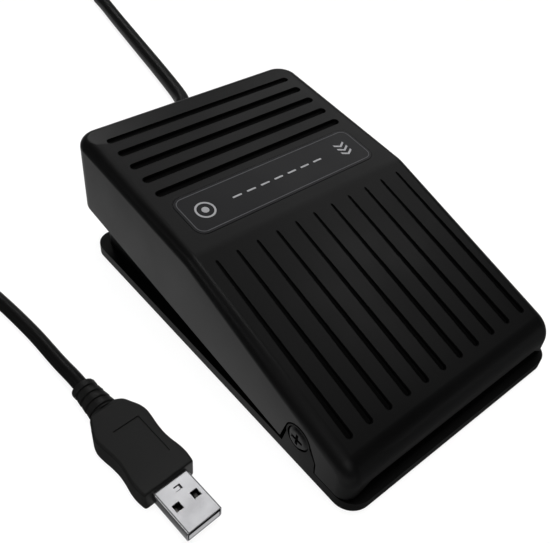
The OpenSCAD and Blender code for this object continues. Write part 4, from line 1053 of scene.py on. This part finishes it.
# Cord: one length of round PVC cord, 5 mm thick, in a thicker sleeve next to the pedal. It leaves the
# strain relief, lies on the floor, and is wound into a tied coil out of sight on its way to the plug.
cord_d = 5 * MM
cord_r = cord_d / 2
cord_round_steps = 6
sleeve_d = 7.4 * MM
sleeve_sides = 28
sleeve_from, sleeve_to = 3, 11
route_steps = 6
coil_at = np.array((-80, 200)) * MM
coil_turns = 6
coil_points_per_turn = 40
coil_mid_r = 30 * MM
coil_pitch = 5.6 * MM
coil_low = 3.3 * MM
coil_high = coil_low + coil_pitch
coil_in_r = coil_mid_r - coil_pitch * coil_turns / 4
coil_edge_x = coil_at[0] - coil_mid_r - coil_pitch * coil_turns / 4
jacket_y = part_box("cord_lead")[0][1]
relief_end = grommet_high[1]
straight_y = (jacket_y, (jacket_y + relief_end) / 2, relief_end, relief_end + 6 * MM)
lead_route = np.concatenate((
    [(cord_x, y, cord_z) for y in straight_y],
    np.array((
        (25.8, 106, 8.6), (30.6, 119, 5), (35.6, 129, 3.55), (39.7, 138, 3.25), (45.6, 165, 3.25),
        (51.1, 193, 3.25), (57.2, 224, 3.25), (63.6, 257, 3.25), (64, 279, 2.7), (55, 298, 2.5),
        (36, 310, 2.5), (12, 314, 2.5), (-16, 311, 2.5), (-44, 303, 2.5), (-72, 290, 2.5),
        (-96, 270, 2.5), (-112, 246, 2.8),
    )) * MM,
    [(coil_edge_x, coil_at[1] + reach * MM, coil_low) for reach in (20, 12, 5)],
))
boot_end = on_plug((0, boot_l, 0))
tail_route = np.concatenate((
    [(coil_edge_x, coil_at[1] - reach * MM, coil_high - drop * MM)
     for reach, drop in ((5, 0), (12, 0), (22, 1))],
    np.array((
        (-117, 164, 5), (-113, 146, 2.9), (-107, 126, 2.5), (-100, 104, 2.5), (-94, 82, 2.5),
        (-90, 61, 2.5), (-87.4, 40, 2.5),
    )) * MM,
    [boot_end + 14 * MM * plug_axes[1] - (0, 0, 0.8 * MM), boot_end + 5 * MM * plug_axes[1], boot_end],
))


def smooth_line(route, steps):
    """A smooth line through the route's points, in cubic pieces: each point's slope is half the way
    between its neighbours."""
    ends = np.concatenate(([2 * route[0] - route[1]], route, [2 * route[-1] - route[-2]]))
    a, b, c, d = (ends[k:len(ends) - 3 + k, None] for k in range(4))
    t = (np.arange(steps) / steps)[None, :, None]
    pieces = 0.5 * (
        2 * b + (c - a) * t + (2 * a - 5 * b + 4 * c - d) * t ** 2 + (3 * b - 3 * c + d - a) * t ** 3
    )
    return np.concatenate((pieces.reshape(-1, 3), route[-1:]))


wound = np.linspace(0, coil_turns, coil_points_per_turn * coil_turns + 1)
wound_r = coil_in_r + coil_pitch * np.abs(wound - coil_turns / 2)
climb = np.clip(2 * (wound - coil_turns / 2) + 0.5, 0, 1)
coil_line = np.stack((
    coil_at[0] - wound_r * np.cos(2 * math.pi * wound),
    coil_at[1] - wound_r * np.sin(2 * math.pi * wound),
    coil_low + coil_pitch * climb ** 2 * (3 - 2 * climb),
), axis=1)
lead_line = smooth_line(lead_route, route_steps)
cord_line = np.concatenate((lead_line, coil_line, smooth_line(tail_route, route_steps)))
cord_curve = bpy.data.curves.new("cord", "CURVE")
cord_curve.dimensions = "3D"
cord_curve.bevel_depth = cord_r
cord_curve.bevel_resolution = cord_round_steps
cord_curve.use_fill_caps = True
spline = cord_curve.splines.new("POLY")
spline.points.add(len(cord_line) - 1)
spline.points.foreach_set("co", np.insert(cord_line, 3, 1, axis=1).ravel())
spline.use_smooth = True
cord_pvc = moulded("cord PVC", (0.004, 0.004, 0.004), (0.4, 0.5), 900, 0.0015 * MM, specular=0.25)
cord_curve.materials.append(cord_pvc)
cord = bpy.data.objects.new("cord", cord_curve)
scene.collection.objects.link(cord)
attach(cord, "base")
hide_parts("cord_lead", "cord_coil", "cord_tail")

# Sleeve: a thicker tube of the same PVC, pushed over the cord's first part behind the strain relief.
# It lies on the floor beside the pedal.
sleeve_line = lead_line[sleeve_from * route_steps:sleeve_to * route_steps + 1].copy()
sleeve_line[:, 2] = np.maximum(sleeve_line[:, 2], sleeve_d / 2)
sleeve = plain_object("cord_sleeve", tube(sleeve_line, sleeve_d / 2, sleeve_sides))
finished(sleeve, cord_pvc, "base")

# Tie: a strap of the feet's matt rubber round one side of the coil, which holds its turns together.
tie = broken_edges("cord_tie", "coil_tie", rubber_edge, rubber, "base")
